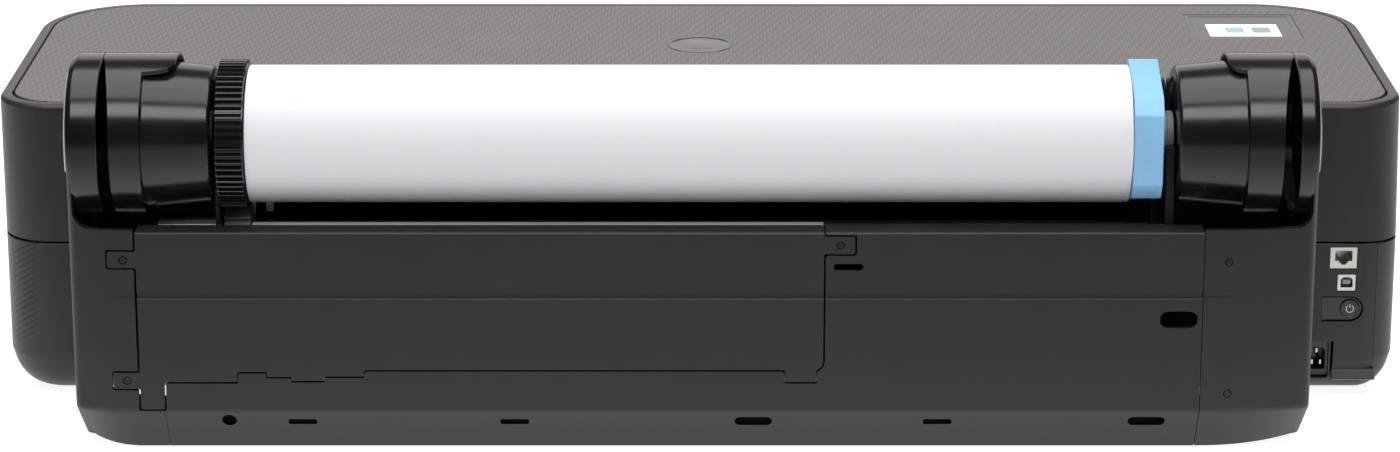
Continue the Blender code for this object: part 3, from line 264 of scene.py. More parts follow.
class SettledDust(SurfaceEffect):
    """A thin, patchy mask on faces that look up."""

    title = "Settled dust"
    takes = {"Place": ("NodeSocketVector", None), "Amount": ("NodeSocketFloat", 0.1)}
    gives = {"Mask": "NodeSocketFloat"}

    @classmethod
    def wire(cls, shader: ShaderTree, source: bpy.types.bpy_prop_collection) -> dict[str, object]:
        """Builds the group's inside: see SurfaceEffect.wire."""
        normal = shader.add("ShaderNodeNewGeometry").outputs["Normal"]
        up = shader.add("ShaderNodeSeparateXYZ", {0: normal}).outputs["Z"]
        lying = shader.spread(up, 0.2, 1.0)
        specks = shader.spread(shader.noise(source["Place"], 420.0, 4.0), 0.45, 0.75)
        drift = shader.noise(source["Place"], 14.0, 2.0)
        patch = shader.plus(shader.times(specks, 0.6), shader.times(drift, 0.5))
        return {"Mask": shader.times(shader.times(lying, patch), source["Amount"], True)}


class Finish:
    """What every finish has in common: a name, a record slot and a material built once."""

    name: str
    slot: str

    def material(self) -> bpy.types.Material:
        """Returns the finish's material, building it the first time.

        Returns:
            The material.
        """
        ready = bpy.data.materials.get(self.name)
        if ready:
            return ready
        made = bpy.data.materials.new(self.name)
        made.use_nodes = True
        made.node_tree.nodes.clear()
        shader = ShaderTree(made.node_tree)
        surface = shader.add("ShaderNodeBsdfPrincipled")
        shader.add("ShaderNodeOutputMaterial", {"Surface": surface.outputs[0]})
        place = shader.add("ShaderNodeTexCoord").outputs["Object"]
        self.dress(shader, surface, place)
        return made

    def dress(self, shader: ShaderTree, surface: bpy.types.Node, place: bpy.types.NodeSocket) -> None:
        """Wires the finish into the material.

        Args:
            shader: the material's tree.
            surface: its Principled shader.
            place: the place on the piece, in metres.
        """
        raise NotImplementedError

    @staticmethod
    def raise_grain(shader: ShaderTree, surface: bpy.types.Node, height: object, depth: float) -> None:
        """Feeds a height, in metres of depth, to the shader's normal.

        Args:
            shader: the material's tree.
            surface: its Principled shader.
            height: the height, from 0 to 1.
            depth: how deep 1 is, in metres.
        """
        inputs = {"Height": height, "Distance": depth, "Strength": 1.0}
        bump = shader.add("ShaderNodeBump", inputs)
        shader.tree.links.new(bump.outputs["Normal"], surface.inputs["Normal"])


@dataclass(frozen=True)
class MouldedPlastic(Finish):
    """Injection-moulded plastic with a grain, cloudy tone, edges lightened partly by wear and partly as a
    painted highlight, and settled dust.
    """

    name: str
    slot: str
    colour: Colour
    roughness: float = 0.5
    grain: float = 1100.0
    depth: float = 0.00003
    variation: float = 0.25
    # how much the edges lighten: partly wear, partly a painted highlight
    edge: float = 0.35
    edge_width: float = 0.0007
    dust: float = 0.05
    coat: float = 0.0
    specular: float = 0.5
    upright: bool = False  # the mould was brushed up and down
    dust_colour: Colour = (0.42, 0.41, 0.40)

    def dress(self, shader: ShaderTree, surface: bpy.types.Node, place: bpy.types.NodeSocket) -> None:
        """Wires the finish: see Finish.dress."""
        if self.upright:
            texture = DrawnLines.place(
                shader, {"Place": place, "Squeeze": (1.0, 1.0, 0.03), "Scale": self.grain}
            )
        else:
            texture = SparkGrain.place(shader, {"Place": place, "Scale": self.grain})
        edge_wear_and_highlight = WornAndHighlitEdges.place(shader, {"Place": place, "Width": self.edge_width})["Mask"]
        dusty = SettledDust.place(shader, {"Place": place, "Amount": self.dust})["Mask"]
        dark = shade(self.colour, 1 - self.variation)
        light = shade(self.colour, 1 + self.variation)
        pale = tuple(min(1.0, c * 2.2 + 0.03) for c in self.colour)
        tone = shader.blend(shader.spread(texture["Tone"], 0.3, 0.7), dark, light)
        # The edges are blended towards pale: partly wear, partly a painted highlight.
        edges_worn_and_highlit = shader.blend(shader.times(edge_wear_and_highlight, self.edge), tone, pale)
        colour = shader.blend(dusty, edges_worn_and_highlit, self.dust_colour)
        shader.tree.links.new(colour, surface.inputs["Base Color"])
        rough = shader.times(shader.maths("SUBTRACT", texture["Tone"], 0.5), 0.25)
        rough = shader.plus(rough, self.roughness)
        rough = shader.plus(rough, shader.times(dusty, 0.3), True)
        shader.tree.links.new(rough, surface.inputs["Roughness"])
        surface.inputs["Coat Weight"].default_value = self.coat
        surface.inputs["Coat Roughness"].default_value = 0.12
        surface.inputs["Specular IOR Level"].default_value = self.specular
        self.raise_grain(shader, surface, texture["Height"], self.depth)


@dataclass(frozen=True)
class RibbedLidPlastic(Finish):
    """Warm grey plastic with fine, broken ridges that run from front to back."""

    name: str = "lid ribbed grey"
    slot: str = "lid_grey"
    colour: Colour = (0.116, 0.103, 0.100)
    pitch: float = 0.0026
    length: float = 0.020
    depth: float = 0.00022
    roughness: float = 0.52
    speck_colour: Colour = (0.25, 0.235, 0.23)
    worn_and_highlit_colour: Colour = (0.42, 0.40, 0.39)
    dust_colour: Colour = (0.5, 0.49, 0.47)

    def dress(self, shader: ShaderTree, surface: bpy.types.Node, place: bpy.types.NodeSocket) -> None:
        """Wires the finish: see Finish.dress."""
        axes = shader.add("ShaderNodeSeparateXYZ", {0: place}).outputs
        sway = shader.times(shader.noise(place, 30.0, 2.0), self.pitch * 0.5)
        across = shader.maths("DIVIDE", shader.plus(axes["X"], sway), self.pitch)
        wave = shader.maths("SINE", shader.times(across, 2 * math.pi))
        row = shader.times(shader.maths("FLOOR", across), 0.618)
        along = shader.plus(shader.maths("DIVIDE", axes["Y"], self.length), row)
        broken = shader.maths("SINE", shader.times(along, 2 * math.pi))
        ridge = shader.times(shader.spread(wave, -0.6, 0.9), shader.spread(broken, -1.2, 0.6))
        grain = SparkGrain.place(shader, {"Place": place, "Scale": 1300.0})
        height = shader.plus(ridge, shader.times(grain["Height"], 0.25))
        # The ridge tops are painted lighter and the hollows between them darker: painted highlight and
        # painted shade, on top of the bump.
        low = shade(self.colour, 0.84)
        high = shade(self.colour, 1.12)
        colour = shader.blend(ridge, low, high)
        colour = shader.blend(shader.times(grain["Tone"], 0.22), colour, self.speck_colour)
        # The edges are lightened: partly wear, partly a painted highlight.
        edge_wear_and_highlight = WornAndHighlitEdges.place(shader, {"Place": place, "Width": 0.0007})["Mask"]
        colour = shader.blend(shader.times(edge_wear_and_highlight, 0.3), colour, self.worn_and_highlit_colour)
        dusty = SettledDust.place(shader, {"Place": place, "Amount": 0.06})["Mask"]
        colour = shader.blend(dusty, colour, self.dust_colour)
        shader.tree.links.new(colour, surface.inputs["Base Color"])
        rough = shader.plus(self.roughness, shader.times(ridge, -0.08))
        shader.tree.links.new(rough, surface.inputs["Roughness"])
        self.raise_grain(shader, surface, height, self.depth)


@dataclass(frozen=True)
class DrawnMetal(Finish):
    """Bright or plated metal with drawn lines and duller patches."""

    name: str
    slot: str = "steel"
    colour: Colour = (0.56, 0.56, 0.57)
    roughness: float = 0.32
    squeeze: Point3 = (0.02, 1.0, 1.0)
    scale: float = 1400.0
    depth: float = 0.00001

    def dress(self, shader: ShaderTree, surface: bpy.types.Node, place: bpy.types.NodeSocket) -> None:
        """Wires the finish: see Finish.dress."""
        lines = DrawnLines.place(shader, {"Place": place, "Squeeze": self.squeeze, "Scale": self.scale})
        # The edges are brightened: partly wear, partly a painted highlight.
        edge_wear_and_highlight = WornAndHighlitEdges.place(shader, {"Place": place, "Width": 0.0004})["Mask"]
        dark = shade(self.colour, 0.72)
        bright = tuple(min(1.0, c * 1.35) for c in self.colour)
        colour = shader.blend(lines["Tone"], dark, self.colour)
        colour = shader.blend(shader.times(edge_wear_and_highlight, 0.6), colour, bright)
        shader.tree.links.new(colour, surface.inputs["Base Color"])
        rough = shader.plus(self.roughness, shader.times(lines["Tone"], 0.18))
        shader.tree.links.new(rough, surface.inputs["Roughness"])
        surface.inputs["Metallic"].default_value = 1.0
        self.raise_grain(shader, surface, lines["Height"], self.depth)


@dataclass(frozen=True)
class RollPaper(Finish):
    """Coated paper wound on a core: smooth along the roll, with its layers showing at the ends."""

    name: str = "roll paper"
    slot: str = "paper_white"
    colour: Colour = (0.86, 0.86, 0.89)
    axis_y: float = 0.163
    axis_z: float = 0.2215
    layer: float = 0.00045
    shadow: Colour = (0.60, 0.60, 0.62)  # between the layers

    def dress(self, shader: ShaderTree, surface: bpy.types.Node, place: bpy.types.NodeSocket) -> None:
        """Wires the finish: see Finish.dress."""
        centred = shader.add(
            "ShaderNodeVectorMath", {0: place, 1: (0, self.axis_y, self.axis_z)}, operation="SUBTRACT"
        )
        flat = shader.add(
            "ShaderNodeVectorMath", {0: centred.outputs[0], 1: (0, 1, 1)}, operation="MULTIPLY"
        )
        radius = shader.add(
            "ShaderNodeVectorMath", {0: flat.outputs[0]}, operation="LENGTH"
        ).outputs["Value"]
        turn = shader.maths("SINE", shader.times(radius, 2 * math.pi / self.layer))
        normal = shader.add("ShaderNodeNewGeometry").outputs["Normal"]
        facing = shader.add("ShaderNodeSeparateXYZ", {0: normal}).outputs["X"]
        at_end = shader.spread(shader.maths("ABSOLUTE", facing), 0.5, 0.9)
        layers = shader.times(shader.spread(turn, -1.0, 1.0), at_end)
        fibre = shader.noise(place, 700.0, 4.0)
        soft = shade(self.colour, 0.94)
        colour = shader.blend(fibre, soft, self.colour)
        colour = shader.blend(shader.times(layers, 0.5), colour, self.shadow)
        shader.tree.links.new(colour, surface.inputs["Base Color"])
        shader.tree.links.new(shader.plus(0.5, shader.times(fibre, 0.2)), surface.inputs["Roughness"])
        surface.inputs["Subsurface Weight"].default_value = 0.05
        height = shader.plus(shader.times(fibre, 0.3), layers)
        self.raise_grain(shader, surface, height, 0.00005)


@dataclass(frozen=True)
class WoundCard(Finish):
    """Brown board wound in a long spiral, as paper cores are."""

    name: str = "core board"
    slot: str = "card_brown"
    colour: Colour = (0.44, 0.32, 0.21)

    def dress(self, shader: ShaderTree, surface: bpy.types.Node, place: bpy.types.NodeSocket) -> None:
        """Wires the finish: see Finish.dress."""
        lines = DrawnLines.place(shader, {"Place": place, "Squeeze": (0.15, 1.0, 1.0), "Scale": 600.0})
        dark = shade(self.colour, 0.7)
        colour = shader.blend(shader.spread(lines["Tone"], 0.3, 0.7), dark, self.colour)
        shader.tree.links.new(colour, surface.inputs["Base Color"])
        surface.inputs["Roughness"].default_value = 0.82
        self.raise_grain(shader, surface, lines["Height"], 0.00008)


@dataclass(frozen=True)
class LitGlass(Finish):
    """A panel behind clear glass that gives a little light of its own."""

    name: str
    colour: Colour
    slot: str = "screen_white"
    glow: float = 0.4

    def dress(self, shader: ShaderTree, surface: bpy.types.Node, place: bpy.types.NodeSocket) -> None:
        """Wires the finish: see Finish.dress."""
        cells = shader.add("ShaderNodeTexChecker", {"Vector": place, "Scale": 2600.0}).outputs["Fac"]
        haze = shader.noise(place, 60.0, 2.0)
        dim = shade(self.colour, 0.93)
        colour = shader.blend(shader.times(cells, 0.35), self.colour, dim)
        colour = shader.blend(shader.times(haze, 0.1), colour, (1.0, 1.0, 1.0))
        shader.tree.links.new(colour, surface.inputs["Base Color"])
        shader.tree.links.new(colour, surface.inputs["Emission Color"])
        surface.inputs["Emission Strength"].default_value = self.glow
        surface.inputs["Roughness"].default_value = 0.12
        surface.inputs["Coat Weight"].default_value = 0.5


@dataclass(frozen=True)
class PrintedBoard(Finish):
    """Green circuit board with paler tracks under its lacquer."""

    name: str = "circuit board"
    slot: str = "board_green"
    colour: Colour = (0.02, 0.12, 0.05)
    track_colour: Colour = (0.06, 0.26, 0.11)
    pad_colour: Colour = (0.6, 0.5, 0.25)

    def dress(self, shader: ShaderTree, surface: bpy.types.Node, place: bpy.types.NodeSocket) -> None:
        """Wires the finish: see Finish.dress."""
        inputs = {"Vector": place, "Scale": 320.0, "Randomness": 0.35}
        cells = shader.add(
            "ShaderNodeTexVoronoi", inputs, distance="MANHATTAN", feature="F1"
        ).outputs["Distance"]
        track = shader.spread(cells, 0.42, 0.5)
        pad = shader.spread(cells, 0.10, 0.05)
        colour = shader.blend(track, self.colour, self.track_colour)
        colour = shader.blend(pad, colour, self.pad_colour)
        shader.tree.links.new(colour, surface.inputs["Base Color"])
        surface.inputs["Roughness"].default_value = 0.32
        self.raise_grain(shader, surface, track, 0.00003)


@dataclass(frozen=True)
class StudioFloor(Finish):
    """A pale floor of lit acrylic, brightest around the object, with a faint mottle."""

    name: str = "studio floor"
    slot: str = ""
    colour: Colour = (0.50, 0.50, 0.50)
    glow: float = 0.90
    fade_y: Span = (0.18, 0.72)
    fade_out: Span = (1.3, 2.6)

    def dress(self, shader: ShaderTree, surface: bpy.types.Node, place: bpy.types.NodeSocket) -> None:
        """Wires the finish: see Finish.dress."""
        mottle = shader.noise(place, 3.0, 2.0)
        colour = shader.blend(mottle, shade(self.colour, 0.985), self.colour)
        shader.tree.links.new(colour, surface.inputs["Base Color"])
        away = shader.add("ShaderNodeVectorMath", {0: place}, operation="LENGTH").outputs["Value"]
        behind = shader.spread(shader.add("ShaderNodeSeparateXYZ", {0: place}).outputs["Y"], *self.fade_y)
        share = shader.maths("MAXIMUM", behind, shader.spread(away, *self.fade_out))
        lit = shader.blend(share, (1.0, 1.0, 1.0), (0.06, 0.06, 0.06))
        shader.tree.links.new(lit, surface.inputs["Emission Color"])
        surface.inputs["Emission Strength"].default_value = self.glow
        surface.inputs["Roughness"].default_value = 0.9
        surface.inputs["Specular IOR Level"].default_value = 0.1


LID_GREY = RibbedLidPlastic()
SHELL = MouldedPlastic(
    "casing charcoal", "shell_black", (0.0085, 0.0087, 0.0095), roughness=0.44, grain=1500.0, depth=0.00003,
    variation=0.35, edge=0.5, upright=True,
)
# A lighter copy of the casing charcoal for faces that look up: a painted highlight.
RIM_PAINTED_HIGHLIGHT = MouldedPlastic(
    "rim charcoal painted highlight", "shell_black", (0.021, 0.0215, 0.0225), roughness=0.42, grain=1300.0, depth=0.00003,
    variation=0.3, edge=0.4,
)
MODULE = MouldedPlastic(
    "module charcoal", "module_black", (0.0085, 0.0087, 0.0095), roughness=0.50, grain=1400.0,
    depth=0.00004, variation=0.3, edge=0.55, dust=0.03,
)
GLOSS = MouldedPlastic(
    "cover satin black", "gloss_black", (0.006, 0.0061, 0.0066), roughness=0.19, grain=2200.0,
    depth=0.000008, variation=0.2, edge=0.5, dust=0.02,
)
INNER = MouldedPlastic(
    "inner black", "inner_black", (0.005, 0.005, 0.0055), roughness=0.6, grain=900.0, depth=0.00005,
    variation=0.3, edge=0.3,
)
BEZEL = MouldedPlastic(
    "panel grey", "shell_black", (0.090, 0.088, 0.087), roughness=0.40, grain=1500.0, depth=0.00002,
    variation=0.15, edge=0.35,
)
PART_GREY = MouldedPlastic(
    "part grey", "part_grey", (0.30, 0.31, 0.32), roughness=0.42, grain=1100.0, depth=0.00003,
    variation=0.12, edge=0.3,
)
STOP_BLUE = MouldedPlastic(
    "stop blue", "stop_blue", (0.27, 0.56, 0.86), roughness=0.34, grain=1200.0, depth=0.00002,
    variation=0.10, edge=0.55, dust=0.02,
)
RUBBER = MouldedPlastic(
    "rubber", "rubber", (0.018, 0.018, 0.018), roughness=0.82, grain=700.0, depth=0.00008, variation=0.3,
    edge=0.2, dust=0.08,
)
STEEL = DrawnMetal("drawn steel")
SCREW = DrawnMetal("blackened steel", colour=(0.055, 0.055, 0.058), roughness=0.34, squeeze=(1.0, 1.0, 1.0))
PLATED = DrawnMetal("plated metal", colour=(0.66, 0.65, 0.62), roughness=0.22, squeeze=(1.0, 1.0, 0.05))
BRASS = DrawnMetal("contact metal", colour=(0.72, 0.58, 0.30), roughness=0.25, squeeze=(1.0, 0.05, 1.0))
PAPER = RollPaper()
CARD = WoundCard()
SCREEN = LitGlass("screen white", (0.82, 0.85, 0.88))
TILE_BLUE = LitGlass("screen tile blue", (0.06, 0.30, 0.50), glow=0.12)
TILE_GREEN = LitGlass("screen tile green", (0.008, 0.14, 0.06), glow=0.12)
TILE_MARK = LitGlass("screen mark grey", (0.45, 0.47, 0.50), glow=0.2)
BOARD = PrintedBoard()
INKS = tuple(
    MouldedPlastic(
        f"ink label {word}", "inner_black", colour, roughness=0.34, grain=1200.0, depth=0.00001,
        variation=0.08, edge=0.2,
    )
    for word, colour in (
        ("cyan", (0.02, 0.36, 0.62)),
        ("magenta", (0.62, 0.03, 0.25)),
        ("yellow", (0.78, 0.62, 0.03)),
        ("black", (0.05, 0.05, 0.055)),
    )
)


# ---- Mesh building -----------------------------------------------------------------------------


class Axis(Enum):
    """The way an outline is extruded. It is drawn in the other two, in X, Y, Z order."""

    X = "X"
    Y = "Y"
    Z = "Z"

    def lift(self, across: float, up: float, along: float) -> Point3:
        """Returns the point in space for a place on the outline and a distance along the axis."""
        if self is Axis.X:
            return (along, across, up)
        if self is Axis.Y:
            return (across, along, up)
        return (across, up, along)


def arc(centre: Point2, radius: float, start: float, end: float, steps: int = 12) -> list[Point2]:
    """Draws part of a circle.

    Args:
        centre: its middle.
        radius: its radius.
        start: the first angle, in degrees.
        end: the last angle, in degrees.
        steps: how many straight pieces.

    Returns:
        The points, both ends included.
    """
    angles = [math.radians(start + (end - start) * i / steps) for i in range(steps + 1)]
    return [(centre[0] + radius * math.cos(a), centre[1] + radius * math.sin(a)) for a in angles]


def circle(centre: Point2, radius: float, steps: int = 48) -> list[Point2]:
    """Draws a whole circle, its first point not repeated."""
    return arc(centre, radius, 0, 360 - 360 / steps, steps - 1)


def rounded_box(across: Span, up: Span, radius: float, steps: int = 6) -> list[Point2]:
    """Draws a rectangle with four round corners, anticlockwise from its right side.

    Args:
        across: its two limits across.
        up: its two limits up.
        radius: the radius of each corner.
        steps: straight pieces for each corner.

    Returns:
        The outline.
    """
    corners = ((1, 1, 0), (0, 1, 90), (0, 0, 180), (1, 0, 270))
    points = []
    for i, j, start in corners:
        centre = (across[i] + (-radius if i else radius), up[j] + (-radius if j else radius))
        points += arc(centre, radius, start, start + 90, steps)
    return points


def filleted(outline: list[Point2], radius: float, steps: int = 4) -> list[Point2]:
    """Rounds every corner of an outline.

    Args:
        outline: the corners in order.
        radius: the largest radius; a corner between short sides gets a smaller one.
        steps: straight pieces for each corner.

    Returns:
        The rounded outline.
    """
    points = []
    for i, corner in enumerate(outline):
        here = Vector(corner)
        back = Vector(outline[i - 1]) - here
        on = Vector(outline[(i + 1) % len(outline)]) - here
        half = back.angle(on) / 2
        reach = min(radius / math.tan(half), back.length * 0.45, on.length * 0.45)
        start, end = here + back.normalized() * reach, here + on.normalized() * reach
        for k in range(steps + 1):
            t = k / steps
            points.append(tuple(start * (1 - t) ** 2 + here * 2 * t * (1 - t) + end * t**2))
    return points


def grown(outline: list[Point2], by: float) -> list[Point2]:
    """Moves every side of an outline outwards by a distance.

    Args:
        outline: the corners in order.
        by: the distance.

    Returns:
        The outline, with as many corners.
    """
    area = sum(a[0] * b[1] - b[0] * a[1] for a, b in zip(outline, outline[1:] + outline[:1]))
    side = math.copysign(by, area)
    moved = []
    for i, corner in enumerate(outline):
        here = Vector(corner)
        arriving = (here - Vector(outline[i - 1])).normalized()
        leaving = (Vector(outline[(i + 1) % len(outline)]) - here).normalized()
        first, second = Vector((arriving.y, -arriving.x)), Vector((leaving.y, -leaving.x))
        moved.append(tuple(here + (first + second) * (side / (1 + first.dot(second)))))
    return moved


def eased(levels: list[Point2], steps: int = 4) -> list[Point2]:
    """Draws a smooth line through points, keeping each of them.

    Args:
        levels: the points.
        steps: straight pieces between two of them.

    Returns:
        The line.
    """
    ends = [levels[0], *levels, levels[-1]]
    points = [levels[0]]
    for a, b, c, d in zip(ends, ends[1:], ends[2:], ends[3:]):
        for k in range(1, steps + 1):
            t = k / steps
            weights = (-t + 2 * t**2 - t**3, 2 - 5 * t**2 + 3 * t**3, t + 4 * t**2 - 3 * t**3, t**3 - t**2)
            points.append(tuple(sum(w * p[i] for w, p in zip(weights, (a, b, c, d))) / 2 for i in (0, 1)))
    return points


def wide(span: Span, by: float) -> Span:
    """Returns the span made longer at both ends."""
    return (span[0] - by, span[1] + by)


def about(centre: float, half: float) -> Span:
    """Returns the span of a given half width about a centre."""
    return (centre - half, centre + half)


class Solid:
    """A closed body in the making. The tools that cut it or join it are used up."""

    def __init__(self, name: str, shape: bmesh.types.BMesh) -> None:
        """Args: name: the piece's name. shape: its mesh, which is freed."""
        bmesh.ops.recalc_face_normals(shape, faces=shape.faces)
        mesh = bpy.data.meshes.new(name)
        shape.to_mesh(mesh)
        shape.free()
        self.obj = bpy.data.objects.new(name, mesh)
        bpy.context.scene.collection.objects.link(self.obj)

    @classmethod
    def box(cls, name: str, x: Span, y: Span, z: Span) -> "Solid":
        """Makes a block between two limits on each axis, for use in a cut or a join."""
        return cls.extruded(name, Axis.Z, [(x[0], y[0]), (x[1], y[0]), (x[1], y[1]), (x[0], y[1])], z)

    @classmethod
    def extruded(cls, name: str, axis: Axis, outline: list[Point2], span: Span) -> "Solid":
        """Extrudes an outline along an axis.

        Args:
            name: the piece's name.
            axis: the way it is extruded.
            outline: its corners.
            span: where it starts and ends along the axis.

        Returns:
            The solid.
        """
        return cls.stacked(name, [[axis.lift(*point, along) for point in outline] for along in span])

    @classmethod
    def plate(
        cls, name: str, axis: Axis, across: Span, up: Span, radius: float, span: Span, steps: int = 6
    ) -> "Solid":
        """Extrudes a rectangle with four round corners: see rounded_box and extruded."""
        return cls.extruded(name, axis, rounded_box(across, up, radius, steps), span)

    @classmethod
    def rod(cls, name: str, axis: Axis, centre: Point2, span: Span, radius: float, steps: int) -> "Solid":
        """Makes a plain round bar along an axis, for use in a cut or a join."""
        near, far = span
        return cls.turned(
            name, axis, centre, [(near, 0.0), (near, radius), (far, radius), (far, 0.0)], steps
        )

    @staticmethod
    def gathered(name: str, parts: list["Solid"]) -> "Solid":
        """Takes separate closed bodies into one piece, which gets the name."""
        parts[0].obj.name = name
        return parts[0].beside(*parts[1:])

    @classmethod
    def stacked(cls, name: str, rings: list[list[Point3]], joined_ends: bool = False) -> "Solid":
        """Makes a skin through rings of points.

        Args:
            name: the piece's name.
            rings: the rings, each with the same number of points.
            joined_ends: the last ring meets the first, where otherwise both are closed off.

        Returns:
            The solid.
        """
        shape = bmesh.new()
        rows = [[shape.verts.new(point) for point in ring] for ring in rings]
        pairs = list(zip(rows, rows[1:]))
        if joined_ends:
            pairs.append((rows[-1], rows[0]))
        else:
            shape.faces.new(rows[0])
            shape.faces.new(rows[-1])
        for low, high in pairs:
            for i in range(len(low)):
                j = (i + 1) % len(low)
                shape.faces.new((low[i], low[j], high[j], high[i]))
        return cls(name, shape)

    @classmethod
    def turned(
        cls, name: str, axis: Axis, centre: Point2, profile: list[Point2], steps: int = 96
    ) -> "Solid":
        """Turns a closed profile about an axis.

        Args:
            name: the piece's name.
            axis: the axis that the line of turning is parallel to.
            centre: where that line stands, in the other two axes.
            profile: the corners as (distance along the axis, radius); a radius of 0 is on the line.
            steps: straight pieces for the full turn.

        Returns:
            The solid.
        """
        shape = bmesh.new()
        rows = []
        for along, radius in profile:
            if radius <= 0:
                rows.append([shape.verts.new(axis.lift(*centre, along))] * steps)
            else:
                rows.append(
                    [shape.verts.new(axis.lift(*point, along)) for point in circle(centre, radius, steps)]
                )
        for low, high in zip(rows, rows[1:] + rows[:1]):
            for i in range(steps):
                j = (i + 1) % steps
                corners = list(dict.fromkeys((low[i], low[j], high[j], high[i])))
                if len(corners) > 2:
                    shape.faces.new(corners)
        return cls(name, shape)

    def _settle(self) -> None:
        """Makes what the modifiers give the solid's own mesh."""
        bpy.context.view_layer.update()
        graph = bpy.context.evaluated_depsgraph_get()
        mesh = bpy.data.meshes.new_from_object(self.obj.evaluated_get(graph))
        self.obj.modifiers.clear()
        self.obj.data = mesh

    def _combined(self, operation: str, tools: tuple["Solid", ...]) -> "Solid":
        """Runs one Boolean operation with each tool in turn.

        Args:
            operation: the operation, as the modifier names it.
            tools: the solids that it runs with, which are used up.

        Returns:
            This solid.
        """
        for tool in tools:
            modifier = self.obj.modifiers.new(operation, "BOOLEAN")
            modifier.operation = operation
            modifier.solver = "EXACT"
            modifier.object = tool.obj
        self._settle()
        for tool in tools:
            bpy.data.objects.remove(tool.obj)
        return self

    def less(self, *tools: "Solid") -> "Solid":
        """Cuts the tools away."""
        return self._combined("DIFFERENCE", tools)

    def plus(self, *tools: "Solid") -> "Solid":
        """Joins the tools on."""
        return self._combined("UNION", tools)

    def within(self, tool: "Solid") -> "Solid":
        """Keeps what lies inside the tool."""
        return self._combined("INTERSECT", (tool,))

    def beside(self, *others: "Solid") -> "Solid":
        """Takes other closed bodies into the same piece without fusing them.

        Args:
            others: the bodies, which are used up.

        Returns:
            This solid.
        """
        shape = bmesh.new()
        for part in (self, *others):
            shape.from_mesh(part.obj.data)
        shape.to_mesh(self.obj.data)
        shape.free()
        for part in others:
            bpy.data.objects.remove(part.obj)
        return self

    def rounded(self, width: float, segments: int = 2, angle: float = 38.0) -> "Solid":
        """Rounds the edges that turn by more than an angle.

        Args:
            width: how far the rounding reaches.
            segments: straight pieces across it.
            angle: the angle, in degrees.

        Returns:
            This solid.
        """
        weld_close(self.obj)
        soften_edges(self.obj, width, segments, angle)
        self._settle()
        return self

    def fitted(self, finish: Finish, body: str, *replaced: str, smooth: float = 34.0) -> bpy.types.Object:
        """Gives the piece its finish and fixes it to the body that it moves with.

        Args:
            finish: its finish.
            body: the body's name.
            replaced: the frame's nodes that it stands for.
            smooth: faces that meet at less than this angle shade as one surface.

        Returns:
            The piece.
        """
        self.obj.data.shade_smooth()
        self.obj.data.set_sharp_from_angle(angle=math.radians(smooth))
        weighted = self.obj.modifiers.new("Weighted normals", "WEIGHTED_NORMAL")
        weighted.keep_sharp = True
        self.obj.data.materials.clear()
        self.obj.data.materials.append(finish.material())
        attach(self.obj, body)
        if replaced:
            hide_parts(*replaced)
        LOG.info("%-24s %-20s %s", self.obj.name, finish.name, body)
        return self.obj


def weld_close(obj: bpy.types.Object, reach: float = 0.000005) -> None:
    """Adds a live weld of the points that stand within a reach of each other."""
    weld = obj.modifiers.new("Weld", "WELD")
    weld.merge_threshold = reach


def soften_edges(obj: bpy.types.Object, width: float, segments: int = 2, angle: float = 38.0) -> None:
    """Adds a live bevel to the edges that turn by more than an angle.

    Args:
        obj: the object.
        width: how far the bevel reaches.
        segments: straight pieces across it.
        angle: the angle, in degrees.
    """
    bevel = obj.modifiers.new("Bevel", "BEVEL")
    bevel.width = width
    bevel.segments = segments
    bevel.limit_method = "ANGLE"
    bevel.angle_limit = math.radians(angle)


def carried_over(node: str, finish: Finish, bevel: float = 0.0004) -> bpy.types.Object:
    """Dresses one of the frame's own nodes, which stays where it is.

    Args:
        node: its name.
        finish: its finish.
        bevel: how far its edges are softened.

    Returns:
        The node's object.
    """
    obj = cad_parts[node]
    weld_close(obj)
    if bevel:
        soften_edges(obj, bevel)
    obj.data.materials.clear()
    obj.data.materials.append(finish.material())
    LOG.info("%-24s %-20s carried over", node, finish.name)
    return obj


# ---- Places ------------------------------------------------------------------------------------


@dataclass(frozen=True)
class Datums:
    """Places that the sub-assemblies share, taken from the frame."""

    half_width: float
    front: float
    rear: float
    top: float
    lower_top: float
    upper_bottom: float
    bottom: float
    module_rear: float
    module_front: float
    roll_y: float
    roll_z: float
    roll_left: float
    roll_right: float
    roll_radius: float
    fit: float = 0.0003
    wall: float = 0.003
    lid_rim: float = 0.0085
    lid_gap: float = 0.0014
    lid_thickness: float = 0.004

    @classmethod
    def read(cls) -> "Datums":
        """Reads the places from the frame's boxes."""
        upper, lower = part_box("upper_shell"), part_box("base_shell")
        roll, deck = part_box("paper_roll"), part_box("roll_deck")
        return cls(
            half_width=upper[1].x,
            front=upper[0].y,
            rear=upper[1].y,
            top=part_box("lid_panel")[1].z,
            lower_top=lower[1].z,
            upper_bottom=upper[0].z,
            bottom=lower[0].z,
            module_rear=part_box("rear_panel")[1].y,
            module_front=deck[0].y,
            roll_y=(roll[0].y + roll[1].y) / 2,
            roll_z=(roll[0].z + roll[1].z) / 2,
            roll_left=roll[0].x,
            roll_right=roll[1].x,
            roll_radius=(roll[1].z - roll[0].z) / 2,
        )

    @property
    def roll_axis(self) -> Point2:
        """The roll's axis in Y and Z."""
        return (self.roll_y, self.roll_z)


